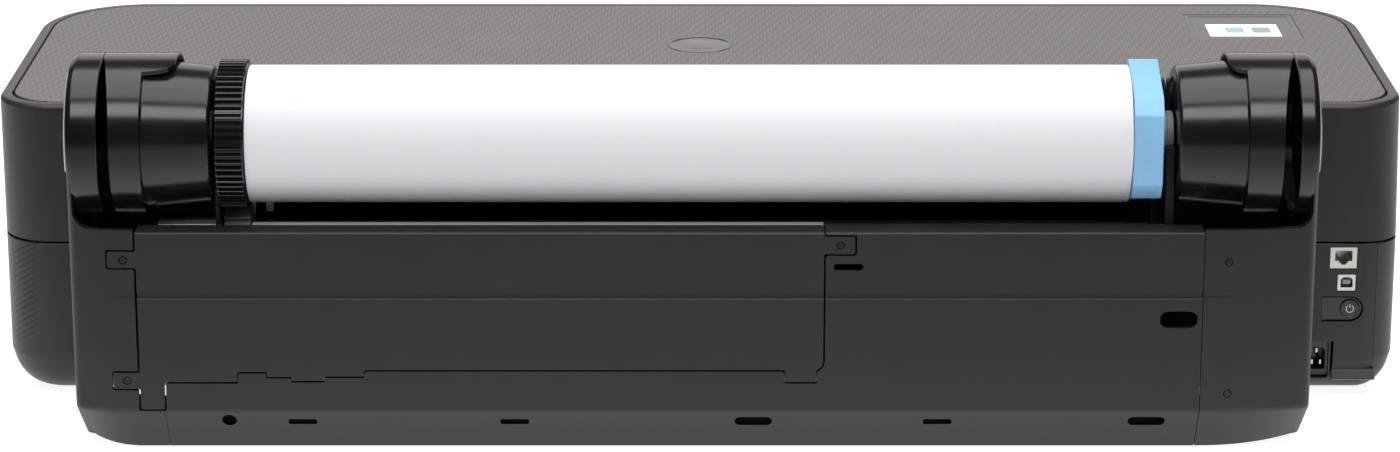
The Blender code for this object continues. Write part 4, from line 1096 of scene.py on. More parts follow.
@dataclass(frozen=True)
class CasingPlan:
    """The casing's outline from above: wide front corners and tighter rear ones."""

    at: Datums
    front_corner: float = 0.078
    rear_corner: float = 0.040
    port_corner: float = 0.026  # the lower casing's, beside the ports
    seam: float = 0.1198
    steps: int = 24

    def ring(self, z: float, inset: float, ease: float = 0.0) -> list[Point3]:
        """Draws the outline at one height, pulled in all round, its rear corners eased wider.

        Args:
            z: the height.
            inset: how far it is pulled in.
            ease: what is added to the radius of the rear corners.

        Returns:
            The outline.
        """
        at, front, rear = self.at, self.front_corner, self.rear_corner + ease
        risen = min(1.0, max(0.0, (z - self.seam) / (at.top - 0.0037 - self.seam)))
        port = self.port_corner + (self.rear_corner - self.port_corner) * risen + ease
        corners = (
            (at.half_width - rear, at.rear - rear, rear, 0),
            (-at.half_width + port, at.rear - port, port, 90),
            (-at.half_width + front, at.front + front, front, 180),
            (at.half_width - front, at.front + front, front, 270),
        )
        points = []
        for x, y, radius, start in corners:
            points += [(px, py, z) for px, py in arc((x, y), radius - inset, start, start + 90, self.steps)]
        return points

    def band(self, name: str, profile: list[Point2]) -> Solid:
        """Sweeps a closed profile of (inset, height) round the outline."""
        return Solid.stacked(name, [self.ring(z, inset) for inset, z in profile], joined_ends=True)

    def slab(self, name: str, levels: list[Point2], ease: float = 0.0) -> Solid:
        """Stacks levels of (inset, height) into a solid that is closed above and below."""
        return Solid.stacked(name, [self.ring(z, inset, ease) for inset, z in levels])


def quarter(inset: float, z: float, radius: float, steps: int = 5) -> list[Point2]:
    """Levels of (inset, height) that round an outer top edge, from the side up to the top face."""
    centre = (inset + radius, z - radius)
    return arc(centre, radius, 180, 90, steps)


@dataclass(frozen=True)
class ModuleEnd:
    """One end of the roll module, as distances outwards from the roll's edge."""

    side: int
    word: str
    edge: float  # the roll's edge
    hub: float
    cradle: float
    cradle_thickness: float
    barrel: float
    hood: float
    seam: float
    ring_inner: float
    ring_outer: float
    disc: float
    outside: float

    def x(self, distance: float) -> float:
        """Returns the place along X that is this far outwards."""
        return self.edge + self.side * distance

    def span(self, near: float, far: float) -> Span:
        """Returns the span along X between two distances outwards."""
        return tuple(sorted((self.x(near), self.x(far))))

    def outward(self, profile: list[Point2], start: float = 0.0) -> list[Point2]:
        """Turns a profile given as distances outwards from a start into places along X."""
        return [(self.x(start + along), radius) for along, radius in profile]


# ---- Casing and lid ----------------------------------------------------------------------------


@dataclass
class Casing:
    """Lower and upper casing, with the cartridge door, the paper mouths and the feet."""

    at: Datums
    plan: CasingPlan
    belly: tuple[Point2, ...] = (
        (0.0240, 0.0), (0.0155, 0.0035), (0.0085, 0.0095), (0.0035, 0.0175), (0.0, 0.0295)
    )
    lip: float = 0.0006
    ledge_width: float = 0.012
    ledge_drop: float = 0.0006
    ledge_thickness: float = 0.005
    slot_half: float = 0.31625
    roll_offset: float = 0.0077
    output_z: Span = (0.060, 0.110)
    entry_z: Span = (0.136, 0.152)
    door_x: Span = (0.3325, 0.4245)
    door_z: Span = (0.034, 0.112)
    door_pin: Point2 = (-0.2185, 0.035)
    inlet_x: Span = (-0.4600, -0.4411)
    inlet_z: Span = (0.0140, 0.0450)
    port_x: Span = (-0.4900, -0.4411)
    port_bottom: float = 0.0215
    hinge: Point2 = (0.0781, 0.2208)
    rib_count: int = 16
    rib_z: Span = (0.036, 0.108)

    def tub(self, name: str) -> Solid:
        """Makes the lower casing whole: its skin with a closed bottom and an open top.

        Args:
            name: the solid's name.

        Returns:
            The casing, with no windows yet.
        """
        at = self.at
        outer = [(inset, at.bottom + up) for inset, up in eased(list(self.belly))]
        outer += [(0.0, at.lower_top - self.lip), (self.lip, at.lower_top)]
        inner = [(at.wall, at.lower_top)]
        deepest = self.belly[0][0]
        for inset, up in reversed(self.belly):
            inner.append((inset + at.wall, at.bottom + up + at.wall * inset / deepest))
        return self.plan.slab(name, outer + inner)

    def lower(self) -> None:
        """Makes the lower casing with its windows."""
        at = self.at
        through = (at.rear - 0.030, at.rear + 0.010)
        front = about(at.front, 0.010)
        inlet = [(self.inlet_x[0], self.inlet_z[0]), (self.inlet_x[1] + 0.0003, self.inlet_z[0])]
        inlet += [(self.inlet_x[1] + 0.0003, self.inlet_z[1]), (self.inlet_x[0] + 0.004, self.inlet_z[1])]
        inlet.append((self.inlet_x[0], self.inlet_z[1] - 0.004))
        shell = self.tub("base_casing").less(
            Solid.box(
                "port_window",
                wide(self.port_x, at.fit),
                through,
                (self.port_bottom - at.fit, at.lower_top + 0.01),
            ),
            Solid.extruded("inlet_window", Axis.Y, filleted(inlet, 0.003), through),
            Solid.plate("output_slot", Axis.Y, about(0, self.slot_half), self.output_z, 0.006, front),
            Solid.box("door_window", self.door_x, front, (self.door_z[0] - 0.001, self.door_z[1])),
            Solid.rod("pin_holes", Axis.X, self.door_pin, wide(self.door_x, 0.002), 0.0011, 16),
        )
        shell.rounded(0.0005, 2, 50).fitted(SHELL, "chassis", "base_shell")
        self.corner_ribs()
        self.mouth()

    def corner_ribs(self) -> None:
        """Makes the slanting grip ribs that run round the drive end's rear corner."""
        centre = (self.at.half_width - self.plan.rear_corner, self.at.rear - self.plan.rear_corner)
        low, high = self.rib_z
        ribs = []
        for i in range(self.rib_count):
            start = low + (high - low) * i / self.rib_count
            rings = []
            for k in range(15):
                t = k / 14
                height = 0.00045 * math.sin(math.pi * t) ** 0.5 + 0.00002
                half = 0.0006 * math.sin(math.pi * t) ** 0.5 + 0.0001
                angle, z = 26 + 44 * t, start + 0.017 * t
                section = (
                    (-0.0004, -half), (height * 0.7, -half * 0.6), (height, 0.0),
                    (height * 0.7, half * 0.6), (-0.0004, half),
                )
                ring = []
                for out, up in section:
                    x, y = arc(centre, self.plan.rear_corner + out, angle, angle, 1)[0]
                    ring.append((x, y, z + up))
                rings.append(ring)
            ribs.append(Solid.stacked(f"corner_rib_{i}", rings))
        Solid.gathered("corner_ribs", ribs).fitted(SHELL, "chassis", smooth=60)

    def mouth(self) -> None:
        """Makes the lined paper mouth at the front, with a row of guide fins."""
        at = self.at
        outline = rounded_box(
            about(0, self.slot_half - 0.0004),
            (self.output_z[0] + 0.0004, self.output_z[1] - 0.0004),
            0.0056,
        )
        hole = rounded_box(
            about(0, self.slot_half - 0.0030),
            (self.output_z[0] + 0.0030, self.output_z[1] - 0.0030),
            0.0036,
        )
        span = (at.front + 0.0004, at.front + 0.0100)
        liner = Solid.extruded("output_mouth", Axis.Y, outline, span)
        liner.less(Solid.extruded("mouth_hole", Axis.Y, hole, wide(span, 0.01))).rounded(0.0006)
        liner.fitted(GLOSS, "chassis")
        fins = []
        count = 18
        for i in range(count):
            x = (i - (count - 1) / 2) * 2 * (self.slot_half - 0.02) / count
            top = self.output_z[1] - 0.0028
            shape = [
                (at.front + 0.004, top), (at.front + 0.040, top), (at.front + 0.040, top - 0.006),
                (at.front + 0.006, top - 0.010),
            ]
            fins.append(Solid.extruded(f"mouth_fin_{i}", Axis.X, filleted(shape, 0.002), about(x, 0.0009)))
        Solid.gathered("mouth_fins", fins).fitted(INNER, "chassis")

    def door(self) -> None:
        """Makes the cartridge door, with its pins and a finger scoop."""
        at = self.at
        x = wide(self.door_x, -0.0005)
        low, high = self.door_z[0], self.door_z[1] - 0.0005
        profile = [
            (at.front, low + 0.0010), (at.front, high), (at.front + at.wall, high),
            (at.front + at.wall, low), (at.front + 0.0010, low),
        ]
        door = Solid.extruded("ink_door", Axis.X, profile, x).rounded(0.0006)
        middle = (x[0] + x[1]) / 2
        scoop = Solid.turned(
            "scoop",
            Axis.Y,
            (middle, high - 0.006),
            [
                (at.front - 0.001, 0.0), (at.front - 0.001, 0.0115), (at.front + 0.0016, 0.0090),
                (at.front + 0.0016, 0.0),
            ],
            48,
        )
        pins = Solid.rod("door_pins", Axis.X, self.door_pin, wide(x, 0.0020), 0.0008, 16)
        door.less(scoop).plus(pins).fitted(SHELL, "door", "cartridge_door")
        for i, ink in enumerate(INKS):
            dot_x = middle + (i - 1.5) * 0.0075
            dot = Solid.turned(
                f"ink_dot_{i + 1}",
                Axis.Y,
                (dot_x, low + 0.009),
                [
                    (at.front - 0.0001, 0.0), (at.front - 0.0001, 0.0016), (at.front + 0.0004, 0.0018),
                    (at.front + 0.0006, 0.0),
                ],
                24,
            )
            dot.fitted(ink, "door")

    def upper(self) -> None:
        """Makes the upper casing: its wall, its rolled rim and the ledge that the lid rests on."""
        at = self.at
        ledge_top = at.top - at.lid_thickness - self.ledge_drop
        ledge_low = ledge_top - self.ledge_thickness
        inner = at.lid_rim + self.ledge_width
        rim = [(0.0, at.top - 0.0042), *arc((0.0042, at.top - 0.0042), 0.0042, 180, 112, 7)]
        wall = [(self.lip, at.upper_bottom), (0.0, at.upper_bottom + self.lip), *rim[1:]]
        profile = wall + [
            (at.lid_rim - 0.0006, at.top - 0.0001), (at.lid_rim, at.top - 0.0006), (at.lid_rim, ledge_top)
        ]
        profile += [
            (inner, ledge_top), (inner, ledge_low), (at.wall, ledge_low), (at.wall, at.upper_bottom)
        ]
        corner = self.plan.rear_corner - at.lid_rim - at.lid_gap
        behind = self.hinge[0] - at.rear + self.plan.rear_corner
        swing_half = at.half_width - self.plan.rear_corner + math.sqrt(corner**2 - behind**2) + 0.001
        swing_y = (self.hinge[0] - 0.005, at.rear - at.lid_rim - 0.0002)
        entry = rounded_box(about(self.roll_offset, self.slot_half), self.entry_z, 0.003)
        shell = self.plan.band("upper_casing", profile).less(
            Solid.box(
                "hinge_sweep",
                about(0, swing_half),
                swing_y,
                (self.hinge[1] - 0.0052, at.top - at.wall - 0.0006),
            ),
            Solid.extruded("paper_entry", Axis.Y, entry, about(at.rear, 0.01)),
        )
        shell.fitted(SHELL, "chassis", "upper_shell")
        # Faces of the rim that look up get the lighter charcoal: a painted highlight.
        shell.obj.data.materials.append(RIM_PAINTED_HIGHLIGHT.material())
        for face in shell.obj.data.polygons:
            if face.center.z > at.top - 0.0041 and face.normal.z > 0.25:
                face.material_index = 1

    def feet(self) -> None:
        """Makes the two rubber feet, ribbed underneath."""
        for word in ("right", "left"):
            low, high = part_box("foot_" + word)
            foot = Solid.plate(
                "pad_" + word, Axis.Z, (low.x, high.x), (low.y, high.y), 0.006, (low.z, high.z)
            )
            grooves = [
                Solid.box(
                    f"groove_{i}", (low.x + 0.003, high.x - 0.003),
                    about(low.y + 0.012 + i * 0.012, 0.0015), (low.z - 0.01, low.z + 0.0008),
                )
                for i in range(int((high.y - low.y - 0.02) / 0.012))
            ]
            foot.less(*grooves).rounded(0.0004).fitted(RUBBER, "chassis", "foot_" + word)

    def build(self) -> None:
        """Makes the whole casing."""
        self.lower()
        self.upper()
        self.door()
        self.feet()


@dataclass
class Lid:
    """The ribbed lid with its badge, its control panel and the ribs below it."""

    at: Datums
    plan: CasingPlan
    edge: float = 0.0007
    corner_ease: float = 0.0035
    panel_centre: Point2 = (-0.417, -0.1425)
    panel_size: Point2 = (0.084, 0.077)
    border: float = 0.0042
    screen_size: Point2 = (0.055, 0.040)
    screen_shift: float = 0.0075
    badge_centre: Point2 = (0.0, -0.085)
    badge_radius: float = 0.0245
    hinge: Point2 = (0.0781, 0.2208)
    hinge_x: float = 0.31403
    pin_radius: float = 0.0009
    pin_half: float = 0.016
    post_half: float = 0.003

    def panel(self) -> None:
        """Makes the lid itself, cut out for its panel, its badge and its hinges."""
        at = self.at
        low, inset = at.top - at.lid_thickness, at.lid_rim + at.lid_gap
        levels = [(inset + 0.0004, low), (inset, low + 0.0004), *quarter(inset, at.top, self.edge)]
        x, y = (about(c, s / 2 + at.fit) for c, s in zip(self.panel_centre, self.panel_size))
        through = (low - 0.004, at.top + 0.004)
        seat = [
            (at.top - 0.001, 0.0), (at.top - 0.001, self.badge_radius + at.fit),
            (at.top + 0.01, self.badge_radius + at.fit), (at.top + 0.01, 0.0),
        ]
        tools = [
            Solid.plate("panel_window", Axis.Z, x, y, 0.0015, through),
            Solid.turned("badge_seat", Axis.Z, self.badge_centre, seat, 72),
        ]
        for side in (1, -1):
            middle = side * self.hinge_x
            tools.append(
                Solid.box(
                    "hinge_notch", about(middle, self.post_half + 0.0005),
                    (self.hinge[0] - 0.0045, at.rear), (low - 0.002, at.top + 0.002),
                ),
            )
            bore = about(middle, self.pin_half + 0.0005)
            tools.append(Solid.rod("hinge_bore", Axis.X, self.hinge, bore, self.pin_radius + 0.00025, 24))
        self.plan.slab("lid_cover", levels, self.corner_ease).less(*tools).fitted(
            LID_GREY, "lid", "lid_panel"
        )

    def ribs(self) -> None:
        """Makes the grid of stiffening ribs under the lid."""
        at = self.at
        top = at.top - at.lid_thickness
        z = (top - 0.0030, top + 0.0003)
        inset = at.lid_rim + 0.0185
        frame_x, frame_y = at.half_width - inset - 0.02, (at.front + inset + 0.012, at.rear - inset - 0.012)
        ribs = []
        for i in range(11):
            x = (i - 5) * frame_x / 5.2
            if abs(x - self.panel_centre[0]) > self.panel_size[0] / 2 + 0.004:
                ribs.append(Solid.box(f"rib_x{i}", about(x, 0.0009), frame_y, z))
        for i in range(4):
            y = frame_y[0] + (frame_y[1] - frame_y[0]) * (i + 0.5) / 4
            near = self.panel_centre[0] + self.panel_size[0] / 2 + 0.006
            start = near if abs(y - self.panel_centre[1]) < self.panel_size[1] / 2 + 0.006 else -frame_x
            ribs.append(Solid.box(f"rib_y{i}", (start, frame_x), about(y, 0.0009), z))
        ribs[0].obj.name = "lid_ribs"
        ribs[0].plus(*ribs[1:]).rounded(0.0003).fitted(PART_GREY, "lid")

    def control_panel(self) -> None:
        """Makes the bezel, the screen and what the screen shows."""
        at = self.at
        (cx, cy), (width, length) = self.panel_centre, self.panel_size
        low, top = at.top - at.lid_thickness, at.top - at.fit
        screen_y = cy + self.screen_shift
        sx, sy = about(cx, self.screen_size[0] / 2), about(screen_y, self.screen_size[1] / 2)
        floor = at.top - 0.0024
        bezel = Solid.plate(
            "panel_bezel", Axis.Z, about(cx, width / 2), about(cy, length / 2), 0.0013, (low, top)
        )
        recess = [about(cx, width / 2 - self.border), about(cy, length / 2 - self.border)]
        slope = Solid.stacked(
            "bezel_recess",
            [
                [
                    (x, y, z)
                    for x, y in rounded_box(wide(recess[0], grow), wide(recess[1], grow), 0.002 + grow)
                ]
                for z, grow in ((top - 0.0006, 0.0), (top + 0.0006, 0.0012))
            ],
        )
        window = Solid.plate(
            "screen_recess", Axis.Z, wide(sx, at.fit), wide(sy, at.fit), 0.0008, (floor, at.top + 0.004)
        )
        bezel.less(slope, window).rounded(0.0003).fitted(BEZEL, "lid", "control_bezel")
        screen = Solid.plate("screen_glass", Axis.Z, sx, sy, 0.0008, (floor + at.fit, floor + 0.0012))
        screen.rounded(0.0002).fitted(SCREEN, "lid", "display_screen")
        self.tiles(sx, sy, floor + 0.0012)

    def tiles(self, sx: Span, sy: Span, z: float) -> None:
        """Makes the two picture tiles on the screen with a short rule above each.

        Args:
            sx: the screen's limits in X.
            sy: the screen's limits in Y.
            z: the height of the screen's face.
        """
        width, length = sx[1] - sx[0], sy[1] - sy[0]
        for word, near, finish in (("blue", 0.25, TILE_BLUE), ("green", 0.62, TILE_GREEN)):
            x = (sx[1] - width * (near + 0.25), sx[1] - width * near)
            y = (sy[1] - length * 0.72, sy[1] - length * 0.31)
            tile = Solid.plate(f"screen_tile_{word}", Axis.Z, x, y, 0.0009, (z - 0.0001, z + 0.00008), 4)
            tile.fitted(finish, "lid")
            rule = Solid.plate(
                f"screen_rule_{word}",
                Axis.Z,
                wide(x, 0.0008),
                (sy[1] - length * 0.80, sy[1] - length * 0.765),
                0.0003,
                (z - 0.0001, z + 0.00006),
                3,
            )
            rule.fitted(TILE_MARK, "lid")

    def badge(self) -> None:
        """Makes the plain round badge: a shallow dish with a raised rim."""
        at, r = self.at, self.badge_radius
        low, top = at.top - 0.001 + at.fit, at.top + at.fit
        profile = [
            (low, 0.0), (low, r), (top - 0.0003, r), (top, r - 0.0003), (top, r - 0.0016),
            (top - 0.0005, r - 0.0022),
        ]
        profile += [(top - 0.0005, r * 0.55), (top - 0.0003, r * 0.52), (top - 0.0003, 0.0)]
        Solid.turned("badge_disc", Axis.Z, self.badge_centre, profile, 96).fitted(GLOSS, "lid", "lid_badge")

    def build(self) -> None:
        """Makes the whole lid and the hinges that it turns on."""
        self.panel()
        self.ribs()
        self.control_panel()
        self.badge()
        for word in ("right", "left"):
            carried_over("lid_hinge_" + word, STEEL, 0.0003)


# ---- Roll module -------------------------------------------------------------------------------


@dataclass
class RollModule:
    """The box behind the casing that holds the roll: panels, end caps, covers and cradles."""

    at: Datums
    ends: tuple[ModuleEnd, ...]
    wall: float = 0.004
    top: float = 0.1655
    bottom: float = 0.0012
    bend_z: float = 0.0354
    bend_soft: float = 0.0024
    setback: float = 0.0245
    groove: Span = (0.1176, 0.1219)
    groove_depth: float = 0.0018
    gap: float = 0.0013
    flange: float = 0.019
    cover_length: float = 0.4762
    cheek_drop: float = 0.0138
    cover_radius: float = 0.057
    cover_wall: float = 0.0026
    barrel_radius: float = 0.048
    bush_radius: float = 0.016
    tab_screw_z: Span = (0.0576, 0.1455)
    screw_radius: float = 0.0026

    def fold(self, z: float) -> float:
        """Returns how far the lower band has leaned forward at a height, as a share of its set-back.

        Args:
            z: the height.

        Returns:
            The share, 0 above the fold.
        """
        down = self.bend_z + self.bend_soft - z
        if down <= 0:
            return 0.0
        if down < 2 * self.bend_soft:
            return down**2 / (4 * self.bend_soft) / (self.bend_z - self.bottom)
        return (down - self.bend_soft) / (self.bend_z - self.bottom)

    def skin(self) -> list[Point2]:
        """Draws the rear skin in Y and Z: flange, upper face, groove, lower face and folded band."""
        rear = self.at.module_rear
        inner = rear - self.wall
        low, high = self.groove
        points = [
            (rear - self.flange, self.top), *arc((rear - 0.0022, self.top - 0.0022), 0.0022, 90, 0, 5)
        ]
        points += [
            (rear, high), (rear - self.groove_depth, high - 0.0006),
            (rear - self.groove_depth, low + 0.0009),
        ]
        points += [(rear - 0.0004, low), (rear, low - 0.0005)]
        heights = [
            self.bend_z + self.bend_soft - 2 * self.bend_soft * i / 6 for i in range(7)
        ] + [self.bottom]
        points += [(rear - self.setback * self.fold(z), z) for z in heights]
        points += [
            (rear - self.setback - self.wall, self.bottom), (inner, self.bend_z + 0.0012),
            (inner, self.top - 0.003),
        ]
        return points + [(rear - self.flange, self.top - 0.003)]

    def cover_outline(self) -> list[Point2]:
        """Draws the access cover on the rear face, from its top corner at the drive end."""
        left = self.ends[0].x(self.ends[0].seam) - self.gap
        right = left - self.cover_length
        high, line, low = self.top + 0.010, 0.0656, self.bend_z + 0.0012
        drive = [
            (0.0, high), (0.0, 0.1516), (0.0198, 0.1516), (0.0198, 0.1400), (0.0, 0.1400), (0.0, 0.0634)
        ]
        drive += [
            (0.0185, 0.0634), (0.0185, 0.0517), (0.0, 0.0517), (0.0, low), (-0.0165, low), (-0.0165, 0.0568)
        ]
        drive += [
            (-0.0675, 0.0568), (-0.0675, 0.0642), (-0.0890, 0.0642), (-0.0890, 0.0605), (-0.1065, 0.0605)
        ]
        drive += [
            (-0.1065, 0.0576), (-0.1275, 0.0576), (-0.1275, 0.0609), (-0.1555, 0.0609), (-0.1555, line)
        ]
        stop = [(0.0261, line), (0.0261, 0.0568), (0.0051, 0.0568), (0.0051, line), (0.0030, line + 0.0006)]
        stop += [
            (0.0008, line + 0.0030), (0.0, line + 0.0060), (0.0, 0.1500), (-0.0215, 0.1500),
            (-0.0215, 0.1625),
        ]
        stop += [(0.0, 0.1625), (0.0, high)]
        return [(left + x, z) for x, z in drive] + [(right + x, z) for x, z in stop]

    def openings(self) -> list[list[Point2]]:
        """Draws the slots in the rear panel."""
        drive, stop = self.ends
        left = stop.x(stop.seam) + self.at.fit
        right = drive.x(drive.seam) - 0.0179
        edge = drive.x(drive.seam) - self.gap - self.cover_length
        drawn = [rounded_box((edge - 0.0273, edge - 0.0067), (0.1380, 0.1430), 0.0024)]
        drawn.append(rounded_box((left + 0.0028, left + 0.0293), (0.0960, 0.1085), 0.0060))
        for x in (right - 0.1053, right - 0.2539, left + 0.1722):
            drawn.append(rounded_box((x, x + 0.0200), (0.0225, 0.0275), 0.0012))
        for x in (left + 0.0226, right - 0.4243):
            drawn.append(rounded_box((x, x + 0.0262), (0.0215, 0.0295), 0.0038))
        drawn.append(circle((right - 0.0440, 0.0265), 0.0052, 32))
        return drawn

    def screw_places(self) -> dict[str, Point2]:
        """Returns where each screw stands in X and Z."""
        drive, stop = self.ends
        left, seam = drive.x(drive.seam) - self.gap, stop.x(stop.seam)
        return {
            "screw_tab_upper": (left + 0.0088, self.tab_screw_z[1]),
            "screw_tab_lower": (left + 0.0092, self.tab_screw_z[0]),
            "screw_bracket": (left - self.cover_length - 0.0115, 0.1563),
            "screw_cap_upper": (seam - 0.0172, 0.1440),
            "screw_cap_lower": (seam - 0.0193, 0.0480),
        }

    def seats(self, *nodes: str) -> list[Solid]:
        """Makes the tools that sink a seat and a hole for each screw.

        Args:
            nodes: the screws' names in the frame.

        Returns:
            One tool for each screw.
        """
        tools = []
        outer = self.at.module_rear - 0.0006
        for node in nodes:
            centre = self.screw_places()[node]
            r = self.screw_radius + self.at.fit
            seat = [
                (outer - 0.012, 0.0), (outer - 0.012, 0.0016), (outer - 0.0013, 0.0016),
                (outer - 0.0013, r), (outer, r), (outer + 0.003, r + 0.0008), (outer + 0.003, 0.0),
            ]
            tools.append(Solid.turned(node + "_seat", Axis.Y, centre, seat, 40))
        return tools

    def panels(self) -> None:
        """Makes the rear panel and the access cover that stands in it."""
        drive, stop = self.ends
        rear = self.at.module_rear
        span = (stop.x(stop.seam) + self.at.fit, drive.x(drive.seam) - self.at.fit)
        through = (rear - 0.06, rear + 0.01)
        outline = self.cover_outline()
        wide_outline = filleted(grown(outline, self.gap), 0.0020)
        band_end = Solid.box(
            "band_end", (drive.x(drive.seam) - 0.0179, span[1] + 0.01), through,
            (-0.01, self.bend_z + 0.0010),
        )
        tools = [Solid.extruded("cover_area", Axis.Y, wide_outline, through), band_end]
        tools += [Solid.extruded("opening", Axis.Y, hole, through) for hole in self.openings()]
        panel = Solid.extruded("rear_skin", Axis.X, self.skin(), span).less(
            *tools, *self.seats("screw_bracket")
        )
        panel.rounded(0.0005, 2, 42).fitted(MODULE, "chassis", "rear_panel")
        cover = Solid.extruded("rear_cover", Axis.X, self.skin(), (outline[-1][0] - 0.03, span[1] + 0.03))
        cover.within(Solid.extruded("cover_shape", Axis.Y, filleted(outline, 0.0016), through))
        cover.less(*self.seats("screw_tab_upper", "screw_tab_lower", "screw_bracket"))
        cover.rounded(0.0005, 2, 42).fitted(MODULE, "chassis", "access_cover")

    def cap_ring(self, end: ModuleEnd, z: float) -> list[Point3]:
        """Draws one level of an end cap: its rear face curves forward towards its outer side.

        Args:
            end: the cap's end of the module.
            z: the height of the level.

        Returns:
            The outline.
        """
        share = self.fold(z)
        seam = end.x(end.seam) + end.side * self.at.fit
        rear = self.at.module_rear - self.setback * share
        sweep = 0.0085 + 0.0200 * share
        outside, corner = end.x(end.outside), 0.006
        run = outside - end.side * corner - seam
        points = [(seam, self.at.module_front), (seam, rear)]
        points += [(seam + run * i / 14, rear - (sweep - 0.0025) * (i / 14) ** 2.2) for i in range(1, 15)]
        start, knee, last = Vector(points[-1]), Vector((outside, rear - sweep + 0.0006)), Vector(
            (outside, rear - sweep - 0.006)
        )
        points += [
            tuple(start * (1 - t) ** 2 + knee * 2 * t * (1 - t) + last * t**2)
            for t in (0.2, 0.4, 0.6, 0.8, 1.0)
        ]
        points.append((outside, self.at.module_front))
        return [(x, y, z) for x, y in points]

    def end_cap(self, end: ModuleEnd) -> None:
        """Makes one end cap: a hollow corner with a tall side cheek.

        Args:
            end: the cap's end of the module.
        """
        at, side = self.at, end.side
        seam = end.x(end.seam) + side * at.fit
        cheek = at.roll_z - self.cheek_drop
        heights = [self.bottom + (self.bend_z - self.bend_soft - self.bottom) * i / 5 for i in range(6)]
        heights += [self.bend_z - self.bend_soft + self.bend_soft * i / 3 for i in range(1, 7)]
        heights += [self.groove[0], self.groove[1], cheek]
        cap = Solid.stacked("cap_" + end.word, [self.cap_ring(end, z) for z in heights])
        wall = 0.0034
        inner = end.x(end.outside) - side * wall
        beyond = seam - side * 0.02
        all_x = tuple(sorted((beyond, end.x(end.outside) + side * 0.01)))
        level, radius = self.top + 0.0015, 0.012
        turns = (270, 360) if side > 0 else (270, 180)
        above = [
            (beyond, 0.3),
            (beyond, level),
            *arc((inner - side * radius, level + radius), radius, *turns),
            (inner, 0.3),
        ]
        rear = at.module_rear
        low, high = self.groove
        crease = [
            (rear + 0.002, high), (rear + 0.002, low), (rear - 0.0008, low + 0.0012),
            (rear - 0.0008, high - 0.0012),
        ]
        cap.less(
            self.cap_core(end, beyond, wall),
            Solid.box(
                "front_cut",
                all_x,
                (at.module_front - 0.01, at.roll_y - self.cover_radius + 0.002),
                (self.top, 0.3),
            ),
            Solid.extruded("top_cut", Axis.Y, above, (at.module_front - 0.01, rear + 0.01)),
            Solid.extruded("crease", Axis.X, crease, all_x),
        )
        if side > 0:
            flap = [(rear - self.setback * self.fold(z), z) for z in heights[:9]]
            flap += [(y - self.wall, z) for y, z in reversed(flap)]
            cap.plus(Solid.extruded("flap", Axis.X, flap, (seam - 0.0179, seam + 0.004)))
            tabs = filleted(grown(self.cover_outline(), self.gap), 0.0020)
            cap.less(
                Solid.extruded("tab_area", Axis.Y, tabs, (rear - 0.03, rear + 0.01)),
                *self.seats("screw_tab_upper", "screw_tab_lower"),
            )
        else:
            cap.less(*self.seats("screw_cap_upper", "screw_cap_lower"))
        cap.rounded(0.0006, 2, 42).fitted(MODULE, "chassis", "end_cap_" + end.word)

    def cap_core(self, end: ModuleEnd, beyond: float, wall: float) -> Solid:
        """Makes the tool that hollows an end cap, open towards the roll and the casing.

        Args:
            end: the cap's end of the module.
            beyond: where the hollow starts in X, past the seam.
            wall: how thick the cap stays.

        Returns:
            The tool.
        """
        outside = end.x(end.outside) - end.side * wall
        bend = end.x(end.seam) + (outside - end.x(end.seam)) * 0.55
        front, rings = self.at.module_front - 0.01, []
        for z in (self.bottom + wall, self.bend_z, 0.3):
            share = self.fold(z)
            rear, sweep = self.at.module_rear - self.setback * share - wall, 0.0085 + 0.0200 * share
            plan = [
                (beyond, front), (beyond, rear), (bend, rear - sweep * 0.25),
                (outside, rear - sweep - 0.002), (outside, front),
            ]
            rings.append([(x, y, z) for x, y in plan])
        return Solid.stacked("cap_core", rings)

    def side_cover(self, end: ModuleEnd) -> None:
        """Makes the stepped barrel with its ring and the hooked hood over its top.

        Args:
            end: the barrel's end of the module.
        """
        at, wall = self.at, self.cover_wall
        big, small = self.cover_radius, self.barrel_radius
        reach = end.disc - 0.0004
        length, step = reach - end.barrel, end.ring_inner - end.barrel
        shoulder = small + 0.0040
        profile = [
            (length, big - 0.0005), (length - 0.0005, big), (step + 0.0010, big),
            (step + 0.0002, big - 0.0004), (step - 0.0008, shoulder + 0.0006),
        ]
        profile += [
            (step - 0.0018, shoulder),
            (0.0040, small + 0.0002),
            *arc((0.0035, small - 0.0033), 0.0035, 90, 180, 6),
        ]
        profile += [
            (0.0, small - 0.0080), (0.0008, small - 0.0088), (0.0008, 0.0), (wall, 0.0),
            (wall, small - 0.0040), (step + 0.0012, shoulder - wall),
        ]
        profile += [(step + wall, big - wall), (length, big - wall)]
        cover = Solid.turned(
            "barrel_" + end.word, Axis.X, at.roll_axis, end.outward(profile, end.barrel), 160
        )
        tip = end.ring_inner + 0.004 - end.hood
        lip = [
            (tip, big), (0.0012, big), (0.0003, big - 0.0004), (0.0, big - 0.0012), (0.0003, big - 0.0022),
            (0.0012, big - wall), (tip, big - wall),
        ]
        hood = Solid.turned("hood", Axis.X, at.roll_axis, end.outward(lip, end.hood), 160)
        x = end.span(end.hood - 0.001, end.ring_inner + 0.01)
        y = (at.roll_y - 0.040, at.roll_y + 0.024)
        tuck = end.x(end.hood)
        plan = [
            (tuck - end.side * 0.001, y[0]), (tuck - end.side * 0.001, y[1] - 0.009),
            (tuck + end.side * 0.005, y[1] - 0.002),
        ]
        plan += [
            (tuck + end.side * 0.012, y[1]), (tuck + end.side * 0.040, y[1] + 0.004),
            (tuck + end.side * 0.040, y[0]),
        ]
        hood.within(Solid.extruded("hood_area", Axis.Z, plan, (at.roll_z + 0.030, at.roll_z + 0.07)))
        cover.plus(
            hood.within(Solid.box("hood_reach", x, wide(y, 0.01), (at.roll_z + 0.030, at.roll_z + 0.07)))
        )
        cover.less(self.slot_lens(end, reach))
        if end.side > 0:
            low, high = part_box("drive_motor")
